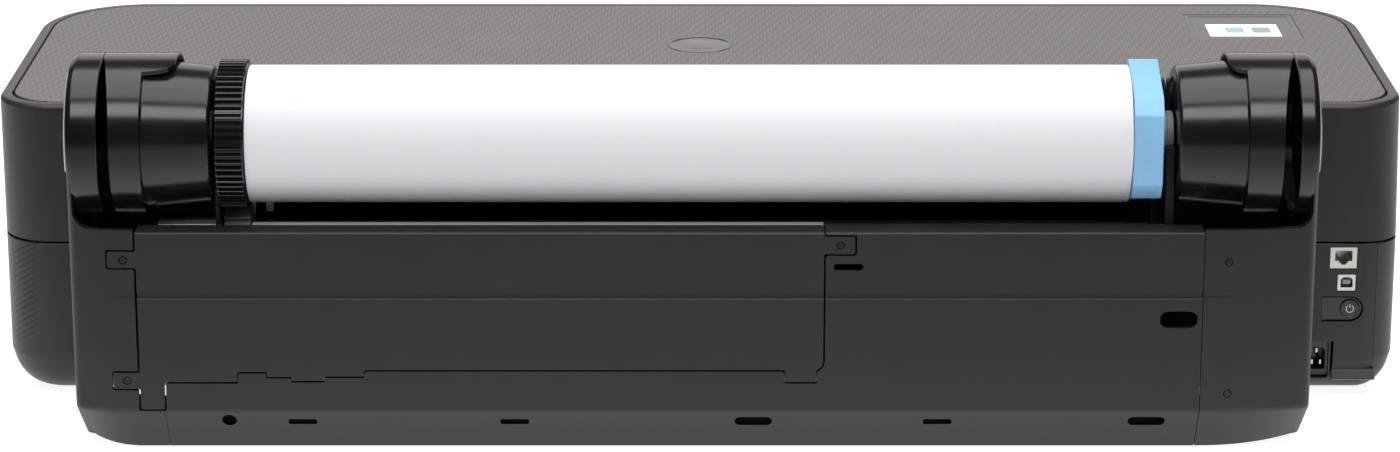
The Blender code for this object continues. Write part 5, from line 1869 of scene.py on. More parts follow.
            axis, room = ((low.y + high.y) / 2, low.z + 0.018), (low.x - 0.001, high.x + 0.001)
            cover.less(Solid.rod("motor_room", Axis.X, axis, room, 0.0185, 48))
        cover.fitted(GLOSS, "chassis", "side_cover_" + end.word)

    def slot_lens(self, end: ModuleEnd, reach: float) -> Solid:
        """Makes the tool that leans the ring's outer rim away from the disc, from nothing at the top.

        Args:
            end: the ring's end of the module.
            reach: how far outwards the ring goes at its top.

        Returns:
            The tool.
        """
        big, deep = self.cover_radius, end.disc - end.ring_outer - 0.0004
        rim = [(end.x(reach + 0.001), self.at.roll_z + big + 0.001)]
        rim += [
            (
                end.x(reach - deep * math.sin(math.pi / 2 * i / 12) ** 0.8),
                self.at.roll_z + big - 0.046 * (i / 12) ** 1.6,
            )
            for i in range(13)
        ]
        rim += [
            (end.x(reach - deep), self.at.roll_z - big - 0.001),
            (end.x(reach + 0.001), self.at.roll_z - big - 0.001),
        ]
        return Solid.extruded("slot_lens", Axis.Y, rim, about(self.at.roll_y, big + 0.01))

    def disc_cover(self, end: ModuleEnd) -> None:
        """Makes the outer cover: a shallow cup with a bevelled, softly rounded rim.

        Args:
            end: the cover's end of the module.
        """
        at, wall, big = self.at, self.cover_wall, self.cover_radius
        depth, soft = end.outside - end.disc, 0.006
        profile = [
            (depth, 0.0), (depth, big - soft - 0.0008), (depth - 0.0004, big - soft),
            (depth - 0.0016, big - soft * 0.34),
        ]
        profile += [
            (depth - 0.0024, big - soft * 0.18), (depth - soft + 0.0010, big - 0.0003), (depth - soft, big),
            (0.0004, big),
        ]
        profile += [
            (0.0, big - 0.0004), (0.0, big - wall), (depth - soft, big - wall),
            (depth - wall, big - soft - wall * 0.6), (depth - wall, 0.0),
        ]
        cup = Solid.turned("disc_" + end.word, Axis.X, at.roll_axis, end.outward(profile, end.disc), 160)
        beside = end.span(end.outside - 0.0034 - at.fit, end.outside + 0.01)
        below = (at.roll_z - big - 0.01, at.roll_z - self.cheek_drop + at.fit)
        cup.less(Solid.box("cheek_cut", beside, about(at.roll_y, 0.07), below)).fitted(
            GLOSS, "chassis", "disc_cover_" + end.word
        )

    def cradle(self, end: ModuleEnd) -> None:
        """Makes the side plate with an open cup for the spindle's bush: low behind, tall in front.

        Args:
            end: the plate's end of the module.
        """
        at = self.at
        cup = self.bush_radius + at.fit
        lips = (at.roll_z - 0.004, at.roll_z + 0.0340)
        front, rear, low = at.module_front + 0.006, at.module_rear - self.wall - 0.022, self.bottom + 0.004
        outline = [
            (front, low), (rear, low), (rear, 0.150), (at.roll_y + cup + 0.008, lips[0]),
            (at.roll_y + cup, lips[0]),
        ]
        outline += arc(at.roll_axis, cup, -14, -180, 24)
        outline += [
            (at.roll_y - cup, lips[1] - 0.003), (at.roll_y - cup - 0.002, lips[1]),
            (at.roll_y - cup - 0.008, lips[1]),
        ]
        outline += [(at.roll_y - cup - 0.010, lips[1] - 0.002), (front, at.roll_z - 0.01)]
        name = "cradle_plate_" + end.word
        plate = Solid.extruded(
            name, Axis.X, outline, end.span(end.cradle, end.cradle + end.cradle_thickness)
        )
        if end.side > 0:
            low_corner, high_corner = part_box("drive_pinion")
            axis = ((low_corner.y + high_corner.y) / 2, (low_corner.z + high_corner.z) / 2)
            through = wide(end.span(end.cradle, end.cradle + end.cradle_thickness), 0.01)
            plate.less(Solid.rod("shaft_hole", Axis.X, axis, through, 0.0035, 24))
        else:
            middle = end.x(end.cradle + end.cradle_thickness / 2)
            split = Solid.box(
                "split",
                about(middle, 0.0009),
                (at.roll_y - cup - 0.02, at.roll_y - cup + 0.002),
                (at.roll_z + 0.006, at.roll_z + 0.05),
            )
            plate.less(split)
        plate.rounded(0.0004, 2, 45).fitted(INNER, "chassis", "cradle_" + end.word)

    def deck(self) -> None:
        """Dresses the roll deck, and makes its guide strip and the tray that closes the module."""
        carried_over("roll_deck", INNER, 0.0005)
        drive = self.ends[0]
        edge = drive.x(drive.seam) - self.gap - self.cover_length
        rear = self.at.module_rear - self.flange
        profile = [
            (rear + 0.0010, self.top), (rear + 0.0010, self.top + 0.0006),
            (rear - 0.0040, self.top + 0.0010),
        ]
        profile += [
            (rear - 0.0062, self.top - 0.0020), (rear - 0.0058, self.top - 0.0024),
            (rear - 0.0036, self.top),
        ]
        strip = Solid.extruded("deck_strip", Axis.X, profile, (edge, self.at.roll_right - 0.003))
        strip.rounded(0.0002, 1, 45).fitted(PART_GREY, "chassis")
        front, foot = self.at.module_front + 0.001, self.at.module_rear - self.setback - self.wall - 0.004
        head, low = self.at.module_rear - self.wall - 0.004, self.bottom + 0.001
        tray = [
            (front, low), (foot, low), (head, self.bend_z + 0.003), (head - 0.0016, self.bend_z + 0.003),
            (foot - 0.0018, low + 0.0018), (front, low + 0.0018),
        ]
        span = (self.ends[1].x(self.ends[1].seam) + 0.001, drive.x(drive.seam) - 0.001)
        Solid.extruded("module_tray", Axis.X, tray, span).rounded(0.0003, 1, 45).fitted(INNER, "chassis")

    def screws(self) -> None:
        """Makes the pan-head screws, each with a cross cut in a domed head."""
        outer = self.at.module_rear - 0.0006
        r = self.screw_radius
        for node, (x, z) in self.screw_places().items():
            head = [
                (outer - 0.011, 0.0), (outer - 0.011, 0.0013), (outer - 0.0010, 0.0013),
                (outer - 0.0010, r), (outer - 0.0004, r),
            ]
            head += [(outer - 0.0001, r - 0.0003), (outer, r - 0.0010), (outer, 0.0)]
            cross = [
                Solid.box("cut_a", about(x, 0.0015), (outer - 0.0005, outer + 0.002), about(z, 0.00035)),
                Solid.box("cut_b", about(x, 0.00035), (outer - 0.0005, outer + 0.002), about(z, 0.0015)),
            ]
            Solid.turned(
                node + "_head", Axis.Y, (x, z), head, 40
            ).less(*cross).fitted(SCREW, "chassis", node)

    def build(self) -> None:
        """Makes the whole module."""
        self.panels()
        for end in self.ends:
            self.end_cap(end)
            self.side_cover(end)
            self.disc_cover(end)
            self.cradle(end)
        self.deck()
        self.screws()


@dataclass
class Spindle:
    """The spindle with its roll of paper, its toothed drive hub and its faceted stop hub."""

    at: Datums
    ends: tuple[ModuleEnd, ...]
    hub_radius: float = 0.052
    teeth: int = 64
    core_outer: float = 0.0285
    core_wall: float = 0.0028
    shaft: float = 0.0085
    bush: float = 0.0160
    land: float = 16.0  # degrees of round between two flats

    @property
    def module(self) -> float:
        """Returns the size of one tooth: the pitch diameter over the number of teeth."""
        return 2 * self.hub_radius / (self.teeth + 2)

    def drive_hub(self) -> None:
        """Makes the toothed hub with a thin flange against the paper and a spigot in the core."""
        drive = self.ends[0]
        at, pitch = self.at, self.teeth * self.module / 2
        tip, root = pitch + self.module * 0.92, pitch - self.module * 1.2
        outline = []
        for tooth in range(self.teeth):
            middle = 360 * (tooth + 0.5) / self.teeth - 90
            half = 180 / self.teeth * 0.46
            for radius, share in (
                (root, -1.45), (tip - 0.0004, -0.62), (tip, -0.36), (tip, 0.36), (tip - 0.0004, 0.62),
                (root, 1.45),
            ):
                outline += arc(at.roll_axis, radius, middle + half * share, middle + half * share, 1)[:1]
        hub = Solid.extruded(
            "toothed_hub", Axis.X, outline, drive.span(at.fit + 0.0012, drive.hub)
        ).rounded(0.00025, 1, 60)
        flange = [
            (0.0, 0.030), (0.0, root + 0.0008), (0.0004, root + 0.0012), (0.0014, root + 0.0012),
            (0.0014, 0.030),
        ]
        hub.plus(Solid.turned("flange", Axis.X, at.roll_axis, drive.outward(flange, at.fit), 128))
        self.bored(hub, drive, "drive_hub", GLOSS)

    def bored(self, hub: Solid, end: ModuleEnd, node: str, finish: Finish) -> None:
        """Adds a hub's spigot, bores it for the shaft and fits it.

        Args:
            hub: the hub.
            end: its end of the module.
            node: the node of the frame that it stands for.
            finish: its finish.
        """
        spigot = [
            (-0.022, 0.012),
            (-0.022, self.core_outer - self.core_wall - 0.0008),
            (-0.0215, self.core_outer - self.core_wall - 0.0003),
        ]
        spigot += [(0.0010, self.core_outer - self.core_wall - 0.0003), (0.0010, 0.012)]
        hub.plus(Solid.turned("spigot", Axis.X, self.at.roll_axis, end.outward(spigot), 64))
        bore = Solid.rod(
            "bore", Axis.X, self.at.roll_axis, end.span(-0.03, 0.04), self.shaft + self.at.fit, 48
        )
        hub.less(bore).fitted(finish, "spindle", node)

    def stop_hub(self) -> None:
        """Makes the blue hub: five flats with round lands, and a dished outer face."""
        stop, at = self.ends[1], self.at
        outline = []
        for i in range(5):
            middle = 36 + 72 * i
            outline += arc(at.roll_axis, self.hub_radius, middle - self.land / 2, middle + self.land / 2, 6)
        hub = Solid.extruded("faceted_hub", Axis.X, outline, stop.span(at.fit, stop.hub))
        dish = [
            (stop.hub + 0.001, 0.0), (stop.hub + 0.001, 0.039), (stop.hub - 0.0030, 0.036),
            (stop.hub - 0.0030, 0.0),
        ]
        hub.less(Solid.turned("dish", Axis.X, at.roll_axis, stop.outward(dish), 96)).rounded(0.0007, 3, 14)
        boss = [
            (stop.hub - 0.0035, 0.010), (stop.hub - 0.0035, 0.0155), (stop.hub - 0.0004, 0.0148),
            (stop.hub, 0.0144), (stop.hub, 0.010),
        ]
        hub.plus(Solid.turned("boss", Axis.X, at.roll_axis, stop.outward(boss), 64))
        self.bored(hub, stop, "stop_hub", STOP_BLUE)

    def roll(self) -> None:
        """Makes the paper and its core. The paper's ends step in and out a little, layer by layer."""
        at, r = self.at, self.at.roll_radius
        inner = self.core_outer + at.fit
        left, right = at.roll_left, at.roll_right
        end = [(0.00035 * ((i * 7) % 5) / 4, inner + (r - 0.0006 - inner) * i / 22) for i in range(23)]
        profile = [(left + x, radius) for x, radius in end] + [
            (left + 0.0003, r - 0.0001), (left + 0.0008, r)
        ]
        profile += [(right - 0.0008, r), (right - 0.0003, r - 0.0001)] + [
            (right - x, radius) for x, radius in reversed(end)
        ]
        Solid.turned("paper", Axis.X, at.roll_axis, profile, 192).fitted(
            PAPER, "spindle", "paper_roll", smooth=25
        )
        bore = self.core_outer - self.core_wall
        tube = [
            (left, bore + 0.0003), (left, self.core_outer - 0.0003), (left + 0.0003, self.core_outer),
            (right - 0.0003, self.core_outer),
        ]
        tube += [
            (right, self.core_outer - 0.0003), (right, bore + 0.0003), (right - 0.0003, bore),
            (left + 0.0003, bore),
        ]
        Solid.turned("core_tube", Axis.X, at.roll_axis, tube, 96).fitted(CARD, "spindle", "roll_core")

    def bushes(self) -> None:
        """Makes the two bushes that the spindle turns in; the stop end's is in two halves."""
        for end in self.ends:
            near, far = end.hub + self.at.fit, end.cradle + end.cradle_thickness
            r, bore = self.bush, self.shaft + self.at.fit
            profile = [
                (near, bore), (near, r - 0.0004), (near + 0.0004, r), (far - 0.0004, r), (far, r - 0.0004),
                (far, bore),
            ]
            if end.side < 0:
                middle = (near + far) / 2
                profile[3:3] = [
                    (middle - 0.0006, r), (middle - 0.0003, r - 0.0008), (middle + 0.0003, r - 0.0008),
                    (middle + 0.0006, r),
                ]
            ring = Solid.turned("collar_" + end.word, Axis.X, self.at.roll_axis, end.outward(profile), 96)
            ring.fitted(PART_GREY, "spindle_carrier", "bush_" + end.word)

    def build(self) -> None:
        """Makes the whole spindle."""
        self.drive_hub()
        self.stop_hub()
        self.roll()
        self.bushes()
        carried_over("spindle_shaft", INNER, 0.0005)


# ---- Ports -------------------------------------------------------------------------------------


@dataclass
class Ports:
    """The port plate with its sockets, its sprung power button and its power inlet."""

    at: Datums
    casing: Casing
    face_drop: float = 0.0012
    lan_x: Span = (-0.4755, -0.4560)
    lan_z: Span = (0.1000, 0.1160)
    usb_x: Span = (-0.4753, -0.4620)
    usb_z: Span = (0.0830, 0.0955)
    button: Point2 = (-0.4718, 0.0696)
    button_radius: float = 0.0074
    tongue_radius: float = 0.0086
    tongue_length: float = 0.0205
    slit: float = 0.0010
    inlet_back: float = 0.030
    inlet_face: float = 0.009
    inlet_cavity: tuple[float, Span] = (0.0058, (0.0210, 0.0375))
    socket_back: float = 0.0609

    def tongue(self, extra: float, gap: float) -> list[Point2]:
        """Draws the button's tongue, straight from its root and then round.

        Args:
            extra: how much is added to its radius.
            gap: how much is added at its root.

        Returns:
            The outline.
        """
        radius = self.tongue_radius + extra
        root = self.button[0] + self.tongue_length + gap
        return [
            (root, self.button[1] - radius), (root, self.button[1] + radius),
            *arc(self.button, radius, 90, 270, 28),
        ]

    def plate(self) -> None:
        """Makes the port plate, the shelf along its foot and the printed marks beside the sockets."""
        at, casing = self.at, self.casing
        through = (at.rear - 0.030, at.rear + 0.010)
        x, z = casing.port_x, (casing.port_bottom, at.lower_top)
        notch = casing.inlet_z
        panel = casing.tub("port_panel").within(Solid.box("port_area", x, through, (z[0], z[1] + 0.001)))
        panel.less(
            Solid.box("inlet_notch", wide(casing.inlet_x, 0.001), through, (notch[0] - 0.01, notch[1])),
            Solid.plate(
                "network_hole", Axis.Y, wide(self.lan_x, at.fit), wide(self.lan_z, at.fit), 0.0008, through
            ),
            Solid.plate(
                "data_hole", Axis.Y, wide(self.usb_x, at.fit), wide(self.usb_z, at.fit), 0.0008, through
            ),
            Solid.extruded("tongue_window", Axis.Y, self.tongue(self.slit, at.fit), through),
        )
        panel.rounded(0.0004, 2, 45).fitted(SHELL, "chassis", "port_plate")
        shelf = [
            (at.rear - 0.0060, 0.0236), (at.rear - 0.0024, 0.0230), (at.rear + 0.0010, 0.0172),
            (at.rear + 0.0012, 0.0164), (at.rear - 0.0010, 0.0150), (at.rear - 0.0075, 0.0150),
        ]
        # The shelf gets the lighter charcoal, so its top shows a painted highlight.
        Solid.extruded(
            "port_shelf", Axis.X, shelf, (x[0] - 0.002, casing.inlet_x[0] - 0.0006)
        ).rounded(0.0004).fitted(RIM_PAINTED_HIGHLIGHT, "chassis")
        for name, mark_z in (("network_mark", 0.1070), ("data_mark", 0.0860)):
            mark = rounded_box(about(casing.port_x[1] - 0.0020, 0.0009), about(mark_z, 0.0009), 0.0003, 3)
            Solid.extruded(
                name, Axis.Y, mark, (at.rear - 0.0002, at.rear + 0.00006)
            ).fitted(PART_GREY, "chassis")

    def network_socket(self) -> None:
        """Makes the network socket: a plated can with a stepped mouth and eight sprung contacts."""
        at = self.at
        face = at.rear - self.face_drop
        middle, low, high = sum(self.lan_x) / 2, self.lan_z[0] + 0.0030, self.lan_z[1] - 0.0025
        mouth = [
            (-0.0061, high), (-0.0061, low + 0.0028), (-0.0032, low + 0.0028), (-0.0032, low + 0.0014),
            (-0.0019, low + 0.0014), (-0.0019, low),
        ]
        mouth = [(middle + x, z) for x, z in mouth] + [(middle - x, z) for x, z in reversed(mouth)]
        can = Solid.plate(
            "network_socket", Axis.Y, self.lan_x, self.lan_z, 0.0006, (self.socket_back, face)
        )
        can.less(
            Solid.extruded("network_mouth", Axis.Y, mouth, (face - 0.014, face + 0.01))
        ).rounded(0.0003)
        can.fitted(PLATED, "chassis", "lan_socket")
        wires = []
        for i in range(8):
            x = middle + (i - 3.5) * 0.00102
            wire = [
                (face - 0.0136, high - 0.0004), (face - 0.0015, high - 0.0004),
                (face - 0.0100, high - 0.0034), (face - 0.0106, high - 0.0031),
                (face - 0.0030, high - 0.0008), (face - 0.0136, high - 0.0008),
            ]
            wires.append(Solid.extruded(f"contact_{i}", Axis.X, wire, about(x, 0.00022)))
        Solid.gathered("network_contacts", wires).fitted(BRASS, "chassis")

    def data_socket(self) -> None:
        """Makes the square data socket with its two cut corners and its contact tongue."""
        face = self.at.rear - self.face_drop
        middle, low, high = sum(self.usb_x) / 2, self.usb_z[0] + 0.0026, self.usb_z[1] - 0.0022
        half, cut = 0.00425, 0.0017
        mouth = [
            (middle - half, low), (middle + half, low), (middle + half, high - cut),
            (middle + half - cut, high),
        ]
        mouth += [(middle - half + cut, high), (middle - half, high - cut)]
        can = Solid.plate("data_socket", Axis.Y, self.usb_x, self.usb_z, 0.0006, (self.socket_back, face))
        can.less(Solid.extruded("data_mouth", Axis.Y, mouth, (face - 0.010, face + 0.01))).rounded(0.0003)
        can.fitted(PLATED, "chassis", "usb_socket")
        tongue = Solid.box(
            "data_tongue", about(middle, 0.0028), (face - 0.0098, face - 0.0012),
            about((low + high) / 2, 0.0016),
        )
        tongue.rounded(0.0003).fitted(PART_GREY, "chassis")

    def power_button(self) -> None:
        """Makes the sprung tongue and its round cap with a plain power sign."""
        at, (cx, cz) = self.at, self.button
        back, front = at.rear - 0.0045, at.rear - 0.0015
        top = front + 0.0012
        r = self.button_radius
        tongue = Solid.extruded(
            "button_tongue", Axis.Y, self.tongue(0.0, 0.0), (back, front)
        ).rounded(0.0003)
        dish = [
            (back + 0.001, 0.0), (back + 0.001, r), (top - 0.0006, r), (top - 0.0002, r - 0.0003),
            (top, r - 0.0009),
        ]
        dish += [(top, r * 0.86), (top - 0.0003, r * 0.82), (top - 0.0004, 0.0)]
        tongue.plus(Solid.turned("button_cap", Axis.Y, self.button, dish, 72)).fitted(
            GLOSS, "button", "power_button"
        )
        level = (top - 0.0005, top - 0.00032)
        ring = arc((cx, cz), 0.0030, 122, 418, 30) + arc((cx, cz), 0.0024, 418, 122, 30)
        sign = Solid.extruded("button_sign", Axis.Y, ring, level)
        sign.beside(
            Solid.plate(
                "button_stroke", Axis.Y, about(cx, 0.0003), (cz + 0.0008, cz + 0.0034), 0.00025, level, 3
            ),
        )
        sign.fitted(TILE_MARK, "button")

    def inlet(self) -> None:
        """Makes the power inlet deep in its lined recess, with three blades."""
        at, casing = self.at, self.casing
        face = at.rear - self.inlet_face
        x = wide(casing.inlet_x, -0.0010)
        half, cavity_z = self.inlet_cavity
        middle, cut = sum(casing.inlet_x) / 2, 0.0022
        left, right, (low, high) = middle - half, middle + half, cavity_z
        mouth = [(left, low), (right, low), (right, high - cut), (right - cut, high), (left + cut, high)]
        mouth.append((left, high - cut))
        z = (casing.inlet_z[0] + 0.0005, casing.inlet_z[1] - 0.0015)
        block = Solid.plate("inlet_socket", Axis.Y, x, z, 0.0010, (at.rear - self.inlet_back, face))
        block.less(
            Solid.extruded("inlet_mouth", Axis.Y, filleted(mouth, 0.0008), (face - 0.014, face + 0.01))
        ).rounded(0.0004)
        block.fitted(GLOSS, "chassis", "power_inlet")
        blades = []
        for i, (dx, z_mid) in enumerate(((0.0, 0.0345), (-0.0030, 0.0255), (0.0030, 0.0255))):
            blade = Solid.box(
                f"blade_{i}", about(middle + dx, 0.0010), (face - 0.0138, face - 0.0022),
                about(z_mid, 0.0019),
            )
            blades.append(blade.rounded(0.0005, 3))
        Solid.gathered("inlet_blades", blades).fitted(PLATED, "chassis")
        span = (face + at.fit, at.rear - 0.0052)
        outline = rounded_box(wide(casing.inlet_x, -0.0002), wide(casing.inlet_z, -0.0002), 0.0030)
        hole = rounded_box(wide(casing.inlet_x, -0.0014), wide(casing.inlet_z, -0.0014), 0.0022)
        liner = Solid.extruded("inlet_recess", Axis.Y, outline, span)
        liner.less(Solid.extruded("recess_hole", Axis.Y, hole, wide(span, 0.01))).fitted(GLOSS, "chassis")

    def build(self) -> None:
        """Makes every port."""
        self.plate()
        self.network_socket()
        self.data_socket()
        self.power_button()
        self.inlet()


# ---- Works inside the casing -------------------------------------------------------------------


@dataclass
class Works:
    """The paper path, the carriage and the electrics, with the details that they carry."""

    at: Datums
    plain: tuple[tuple[str, Finish, float], ...] = (
        ("platen", INNER, 0.0006),
        ("output_ramp", INNER, 0.0004),
        ("feed_roller", RUBBER, 0.0006),
        ("pinch_roller", RUBBER, 0.0004),
        ("feed_motor", STEEL, 0.0006),
        ("carriage_rail", STEEL, 0.0004),
        ("carriage", INNER, 0.0006),
        ("drive_belt", RUBBER, 0.0),
        ("motor_pulley", PART_GREY, 0.0002),
        ("idler_pulley", PART_GREY, 0.0002),
        ("carriage_motor", STEEL, 0.0006),
        ("drive_motor", STEEL, 0.0006),
        ("drive_pinion", PART_GREY, 0.0002),
        ("ink_bay", PART_GREY, 0.0004),
        ("main_board", BOARD, 0.0002),
        ("power_supply", PART_GREY, 0.0006),
        ("service_station", INNER, 0.0006),
    )

    def platen_ribs(self) -> None:
        """Makes the low ribs that carry the paper across the platen."""
        low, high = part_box("platen")
        count = 31
        ribs = []
        for i in range(count):
            x = low.x + (high.x - low.x) * (i + 0.5) / count
            shape = filleted(
                [
                    (low.y + 0.003, high.z - 0.0005), (high.y - 0.003, high.z - 0.0005),
                    (high.y - 0.006, high.z + 0.0009), (low.y + 0.006, high.z + 0.0009),
                ],
                0.0008,
            )
            ribs.append(Solid.extruded(f"platen_rib_{i}", Axis.X, shape, about(x, 0.0010)))
        Solid.gathered("platen_ribs", ribs).fitted(INNER, "chassis")

    def carriage_details(self) -> None:
        """Makes the latch lid, its grip and the cable clamp on top of the carriage."""
        low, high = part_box("carriage")
        body = "ink_carriage"
        cover = Solid.plate(
            "carriage_cover", Axis.Z, (low.x + 0.006, high.x - 0.006), (low.y + 0.006, low.y + 0.070),
            0.005, (high.z - 0.0004, high.z + 0.0024),
        )
        slots = [
            Solid.box(
                f"cover_slot_{i}", about((i - 1.5) * 0.0225, 0.0016), (low.y + 0.020, low.y + 0.056),
                (high.z + 0.0012, high.z + 0.01),
            )
            for i in range(4)
        ]
        cover.less(*slots).rounded(0.0006).fitted(PART_GREY, body)
        grip = [
            (low.y - 0.0022, high.z - 0.020), (low.y + 0.001, high.z - 0.024),
            (low.y + 0.001, high.z - 0.008), (low.y - 0.0022, high.z - 0.012),
        ]
        Solid.extruded(
            "carriage_grip", Axis.X, filleted(grip, 0.001), about(0.0, 0.020)
        ).rounded(0.0004).fitted(PART_GREY, body)
        clamp = Solid.plate(
            "cable_clamp", Axis.Z, (high.x - 0.034, high.x - 0.008), (high.y - 0.022, high.y - 0.008),
            0.0025, (high.z - 0.0004, high.z + 0.0034),
        )
        clamp.rounded(0.0005).fitted(STEEL, body)

    def position_strip(self) -> None:
        """Makes the strip that the carriage reads its place from, held at both ends."""
        low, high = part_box("carriage_rail")
        y = about(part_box("drive_belt")[0].y - 0.0012, 0.00015)
        strip = Solid.plate(
            "position_strip", Axis.Y, (low.x + 0.004, high.x - 0.004), (0.1700, 0.1800), 0.0010, y, 3
        )
        strip.fitted(PART_GREY, "chassis")
        for word, x in (("right", high.x - 0.004), ("left", low.x + 0.004)):
            post = Solid.plate(
                "strip_post_" + word, Axis.Z, about(x, 0.003), (high.y - 0.0004, y[1] + 0.002), 0.0010,
                (low.z + 0.001, 0.1820),
            )
            post.rounded(0.0004).fitted(STEEL, "chassis")

    def cartridges(self) -> None:
        """Dresses the ink cartridges and gives each a coloured label and a grip."""
        for i, ink in enumerate(INKS):
            node, body = f"cartridge_{i + 1}", f"ink_{i + 1}"
            carried_over(node, INNER, 0.0005)
            low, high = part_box(node)
            x = (low.x + 0.0022, high.x - 0.0022)
            label = Solid.plate(
                f"cartridge_label_{i + 1}", Axis.Y, x, (high.z - 0.030, high.z - 0.006), 0.0015,
                (low.y - 0.0003, low.y + 0.0004),
            )
            label.fitted(ink, body)
            grip = Solid.plate(
                f"cartridge_grip_{i + 1}", Axis.Y, x, (low.z + 0.006, low.z + 0.016), 0.0018,
                (low.y - 0.0005, low.y + 0.0004),
            )
            grip.rounded(0.0003).fitted(PART_GREY, body)

    def board_parts(self) -> None:
        """Makes the chips, the cans and the header on the main board."""
        low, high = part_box("main_board")
        y, top = low.y, low.y + 0.0003
        for i, (share_x, share_z, w, h) in enumerate(
            (
                (0.30, 0.55, 0.0130, 0.0130), (0.55, 0.62, 0.0090, 0.0060), (0.55, 0.42, 0.0090, 0.0060),
                (0.78, 0.30, 0.0070, 0.0070),
            ),
        ):
            x, z = low.x + (high.x - low.x) * share_x, low.z + (high.z - low.z) * share_z
            chip = Solid.box(f"chip_{i + 1}", about(x, w), (y - 0.0018, top), about(z, h)).rounded(0.0004)
            legs = [
                Solid.box(
                    f"leg_{i}_{k}", about(x + s * (w + 0.0004), 0.0007), (y - 0.0006, top),
                    about(z + (k - 3.5) * h / 4.4, 0.0003),
                )
                for s in (-1, 1)
                for k in range(8)
            ]
            chip.fitted(INNER, "chassis")
            Solid.gathered(f"chip_legs_{i + 1}", legs).fitted(PLATED, "chassis")
        for i in range(5):
            centre = (low.x + 0.014 + i * 0.0135, low.z + 0.012)
            can = [
                (top, 0.0), (top, 0.0042), (y - 0.0010, 0.0042), (y - 0.0014, 0.0038), (y - 0.0018, 0.0042),
                (y - 0.0105, 0.0042), (y - 0.0110, 0.0037), (y - 0.0110, 0.0),
            ]
            Solid.turned(f"board_can_{i + 1}", Axis.Y, centre, can, 36).fitted(PLATED, "chassis")
        header = Solid.box(
            "board_header", (high.x - 0.052, high.x - 0.012), (y - 0.0060, top),
            (high.z - 0.012, high.z - 0.004),
        )
        header.less(
            Solid.box(
                "header_slot", (high.x - 0.050, high.x - 0.014), (y - 0.01, y - 0.0022),
                (high.z - 0.0105, high.z - 0.0055),
            ),
        ).rounded(0.0004)
        header.fitted(PAPER, "chassis")

    def supply_vents(self) -> None:
        """Makes the louvred cover on the power supply."""
        low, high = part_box("power_supply")
        cover = Solid.plate(
            "supply_cover", Axis.Z, (low.x + 0.004, high.x - 0.004), (low.y + 0.004, high.y - 0.004), 0.003,
            (high.z - 0.0004, high.z + 0.0010),
        )
        slots = []
        for i in range(14):
            y = low.y + 0.020 + i * 0.0078
            slots.append(
                Solid.plate(
                    f"louvre_{i}", Axis.Z, (low.x + 0.018, high.x - 0.018), about(y, 0.0016), 0.0015,
                    (high.z + 0.0001, high.z + 0.01),
                ),
            )
        cover.less(*slots).rounded(0.0003).fitted(STEEL, "chassis")

    def station_caps(self) -> None:
        """Makes the rubber caps and the wiper on the service station."""
        low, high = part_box("service_station")
        for i in range(4):
            x = low.x + 0.012 + i * 0.0160
            outline = rounded_box(about(x, 0.0055), (low.y + 0.010, low.y + 0.036), 0.003)
            cap = Solid.extruded(
                f"station_cap_{i + 1}", Axis.Z, outline, (high.z - 0.0004, high.z + 0.0030)
            )
            well = rounded_box(about(x, 0.0040), (low.y + 0.0115, low.y + 0.0345), 0.002)
            cap.less(
                Solid.extruded("cap_well", Axis.Z, well, (high.z + 0.0010, high.z + 0.01))
            ).rounded(0.0003).fitted(RUBBER, "chassis")
        wiper = Solid.box(
            "station_wiper", (low.x + 0.008, high.x - 0.012), (high.y - 0.018, high.y - 0.0165),
            (high.z - 0.0004, high.z + 0.0050),
        )
        wiper.rounded(0.0003).fitted(RUBBER, "chassis")

    def build(self) -> None:
        """Dresses the frame's own nodes and adds their details."""
        for node, finish, bevel in self.plain:
            carried_over(node, finish, bevel)
        self.platen_ribs()
        self.carriage_details()
        self.position_strip()
        self.cartridges()
        self.board_parts()
        self.supply_vents()
        self.station_caps()


# ---- Studio ------------------------------------------------------------------------------------


@dataclass(frozen=True)
class Softbox:
    """One rectangular light: where it stands, what it faces, its size and its power."""

    name: str
    place: Point3
    facing: Point3
    size: Point2
    power: float

    def build(self) -> None:
        """Makes the light."""
        light = bpy.data.lights.new(self.name, "AREA")
        light.shape = "RECTANGLE"
        light.size, light.size_y = self.size
        light.energy = self.power
        obj = bpy.data.objects.new(self.name, light)
        obj.location = self.place
        obj.rotation_euler = (Vector(self.facing) - Vector(self.place)).to_track_quat("-Z", "Y").to_euler()
        bpy.context.scene.collection.objects.link(obj)
        LOG.info("%-24s %.0f W", self.name, self.power)


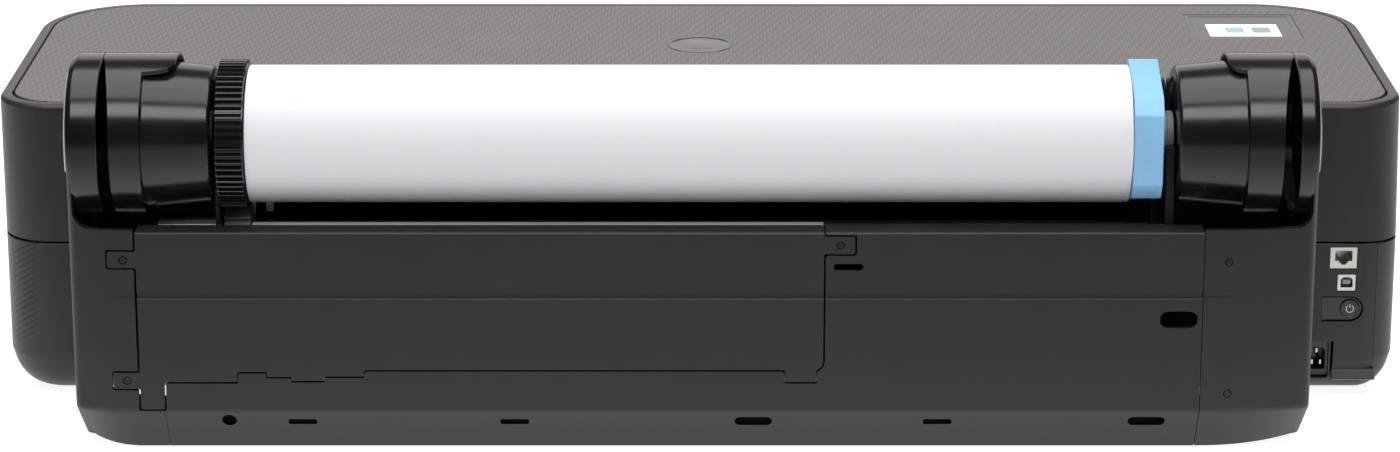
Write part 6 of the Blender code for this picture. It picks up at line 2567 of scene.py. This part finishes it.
@dataclass
class Studio:
    """The pale floor, the soft lights and the camera."""

    floor_half: float = 9.0
    place: Point3 = (0.0, 2.979, 0.994)
    tilt: float = 73.39
    lens: float = 107.4
    sensor: float = 36.0
    ambient: Colour = (0.80, 0.82, 0.85)
    ambient_strength: float = 0.07
    lights: tuple[Softbox, ...] = (
        Softbox("overhead", (0.0, 0.10, 2.30), (0.0, 0.10, 0.0), (3.4, 2.0), 62.0),
        Softbox("backdrop", (0.0, -3.60, 1.60), (0.0, 0.0, 0.1), (6.0, 2.4), 50.0),
        Softbox("camera_side", (0.0, 2.00, 2.30), (0.0, 0.15, 0.15), (2.8, 0.9), 42.0),
    )

    def floor(self) -> None:
        """Makes the floor."""
        half = self.floor_half
        mesh = bpy.data.meshes.new("studio_floor")
        mesh.from_pydata(
            [(-half, -half, 0), (half, -half, 0), (half, half, 0), (-half, half, 0)], [], [(0, 1, 2, 3)]
        )
        obj = bpy.data.objects.new("studio_floor", mesh)
        bpy.context.scene.collection.objects.link(obj)
        obj.data.materials.append(StudioFloor().material())

    def world(self) -> None:
        """Sets an even, low light all round."""
        world = bpy.data.worlds.new("Studio")
        world.use_nodes = True
        sky = world.node_tree.nodes["Background"]
        sky.inputs["Color"].default_value = (*self.ambient, 1.0)
        sky.inputs["Strength"].default_value = self.ambient_strength
        bpy.context.scene.world = world

    def camera(self) -> None:
        """Sets the camera a little above the printer, square to its back."""
        data = bpy.data.cameras.new("Camera")
        data.lens, data.sensor_width = self.lens, self.sensor
        camera = bpy.data.objects.new("Camera", data)
        camera.location = self.place
        camera.rotation_euler = (math.radians(self.tilt), 0.0, math.pi)
        bpy.context.scene.collection.objects.link(camera)
        bpy.context.scene.camera = camera

    def build(self) -> None:
        """Makes the studio."""
        self.floor()
        self.world()
        for light in self.lights:
            light.build()
        self.camera()
        bpy.context.scene.view_settings.view_transform = "Standard"


def main() -> None:
    """Builds the plotter and its studio."""
    logging.basicConfig(level=logging.INFO, format="%(name)s %(message)s")
    at = Datums.read()
    drive = ModuleEnd(
        side=1, word="right", edge=at.roll_right, hub=0.0200, cradle=0.0205, cradle_thickness=0.0028,
        barrel=0.0237, hood=0.0488, seam=0.0778, ring_inner=0.0710, ring_outer=0.0920, disc=0.1005,
        outside=0.1237,
    )
    stop = ModuleEnd(
        side=-1, word="left", edge=at.roll_left, hub=0.0208, cradle=0.0253, cradle_thickness=0.0057,
        barrel=0.0315, hood=0.0674, seam=0.0504, ring_inner=0.0789, ring_outer=0.1027, disc=0.1145,
        outside=0.1289,
    )
    plan = CasingPlan(at)
    casing = Casing(at, plan)
    ends = (drive, stop)
    parts = (
        casing, Lid(at, plan), RollModule(at, ends), Spindle(at, ends), Ports(
            at, casing
        ), Works(at), Studio(),
    )
    for part in parts:
        LOG.info("--- %s", type(part).__name__)
        part.build()


if __name__ == "__main__":
    main()
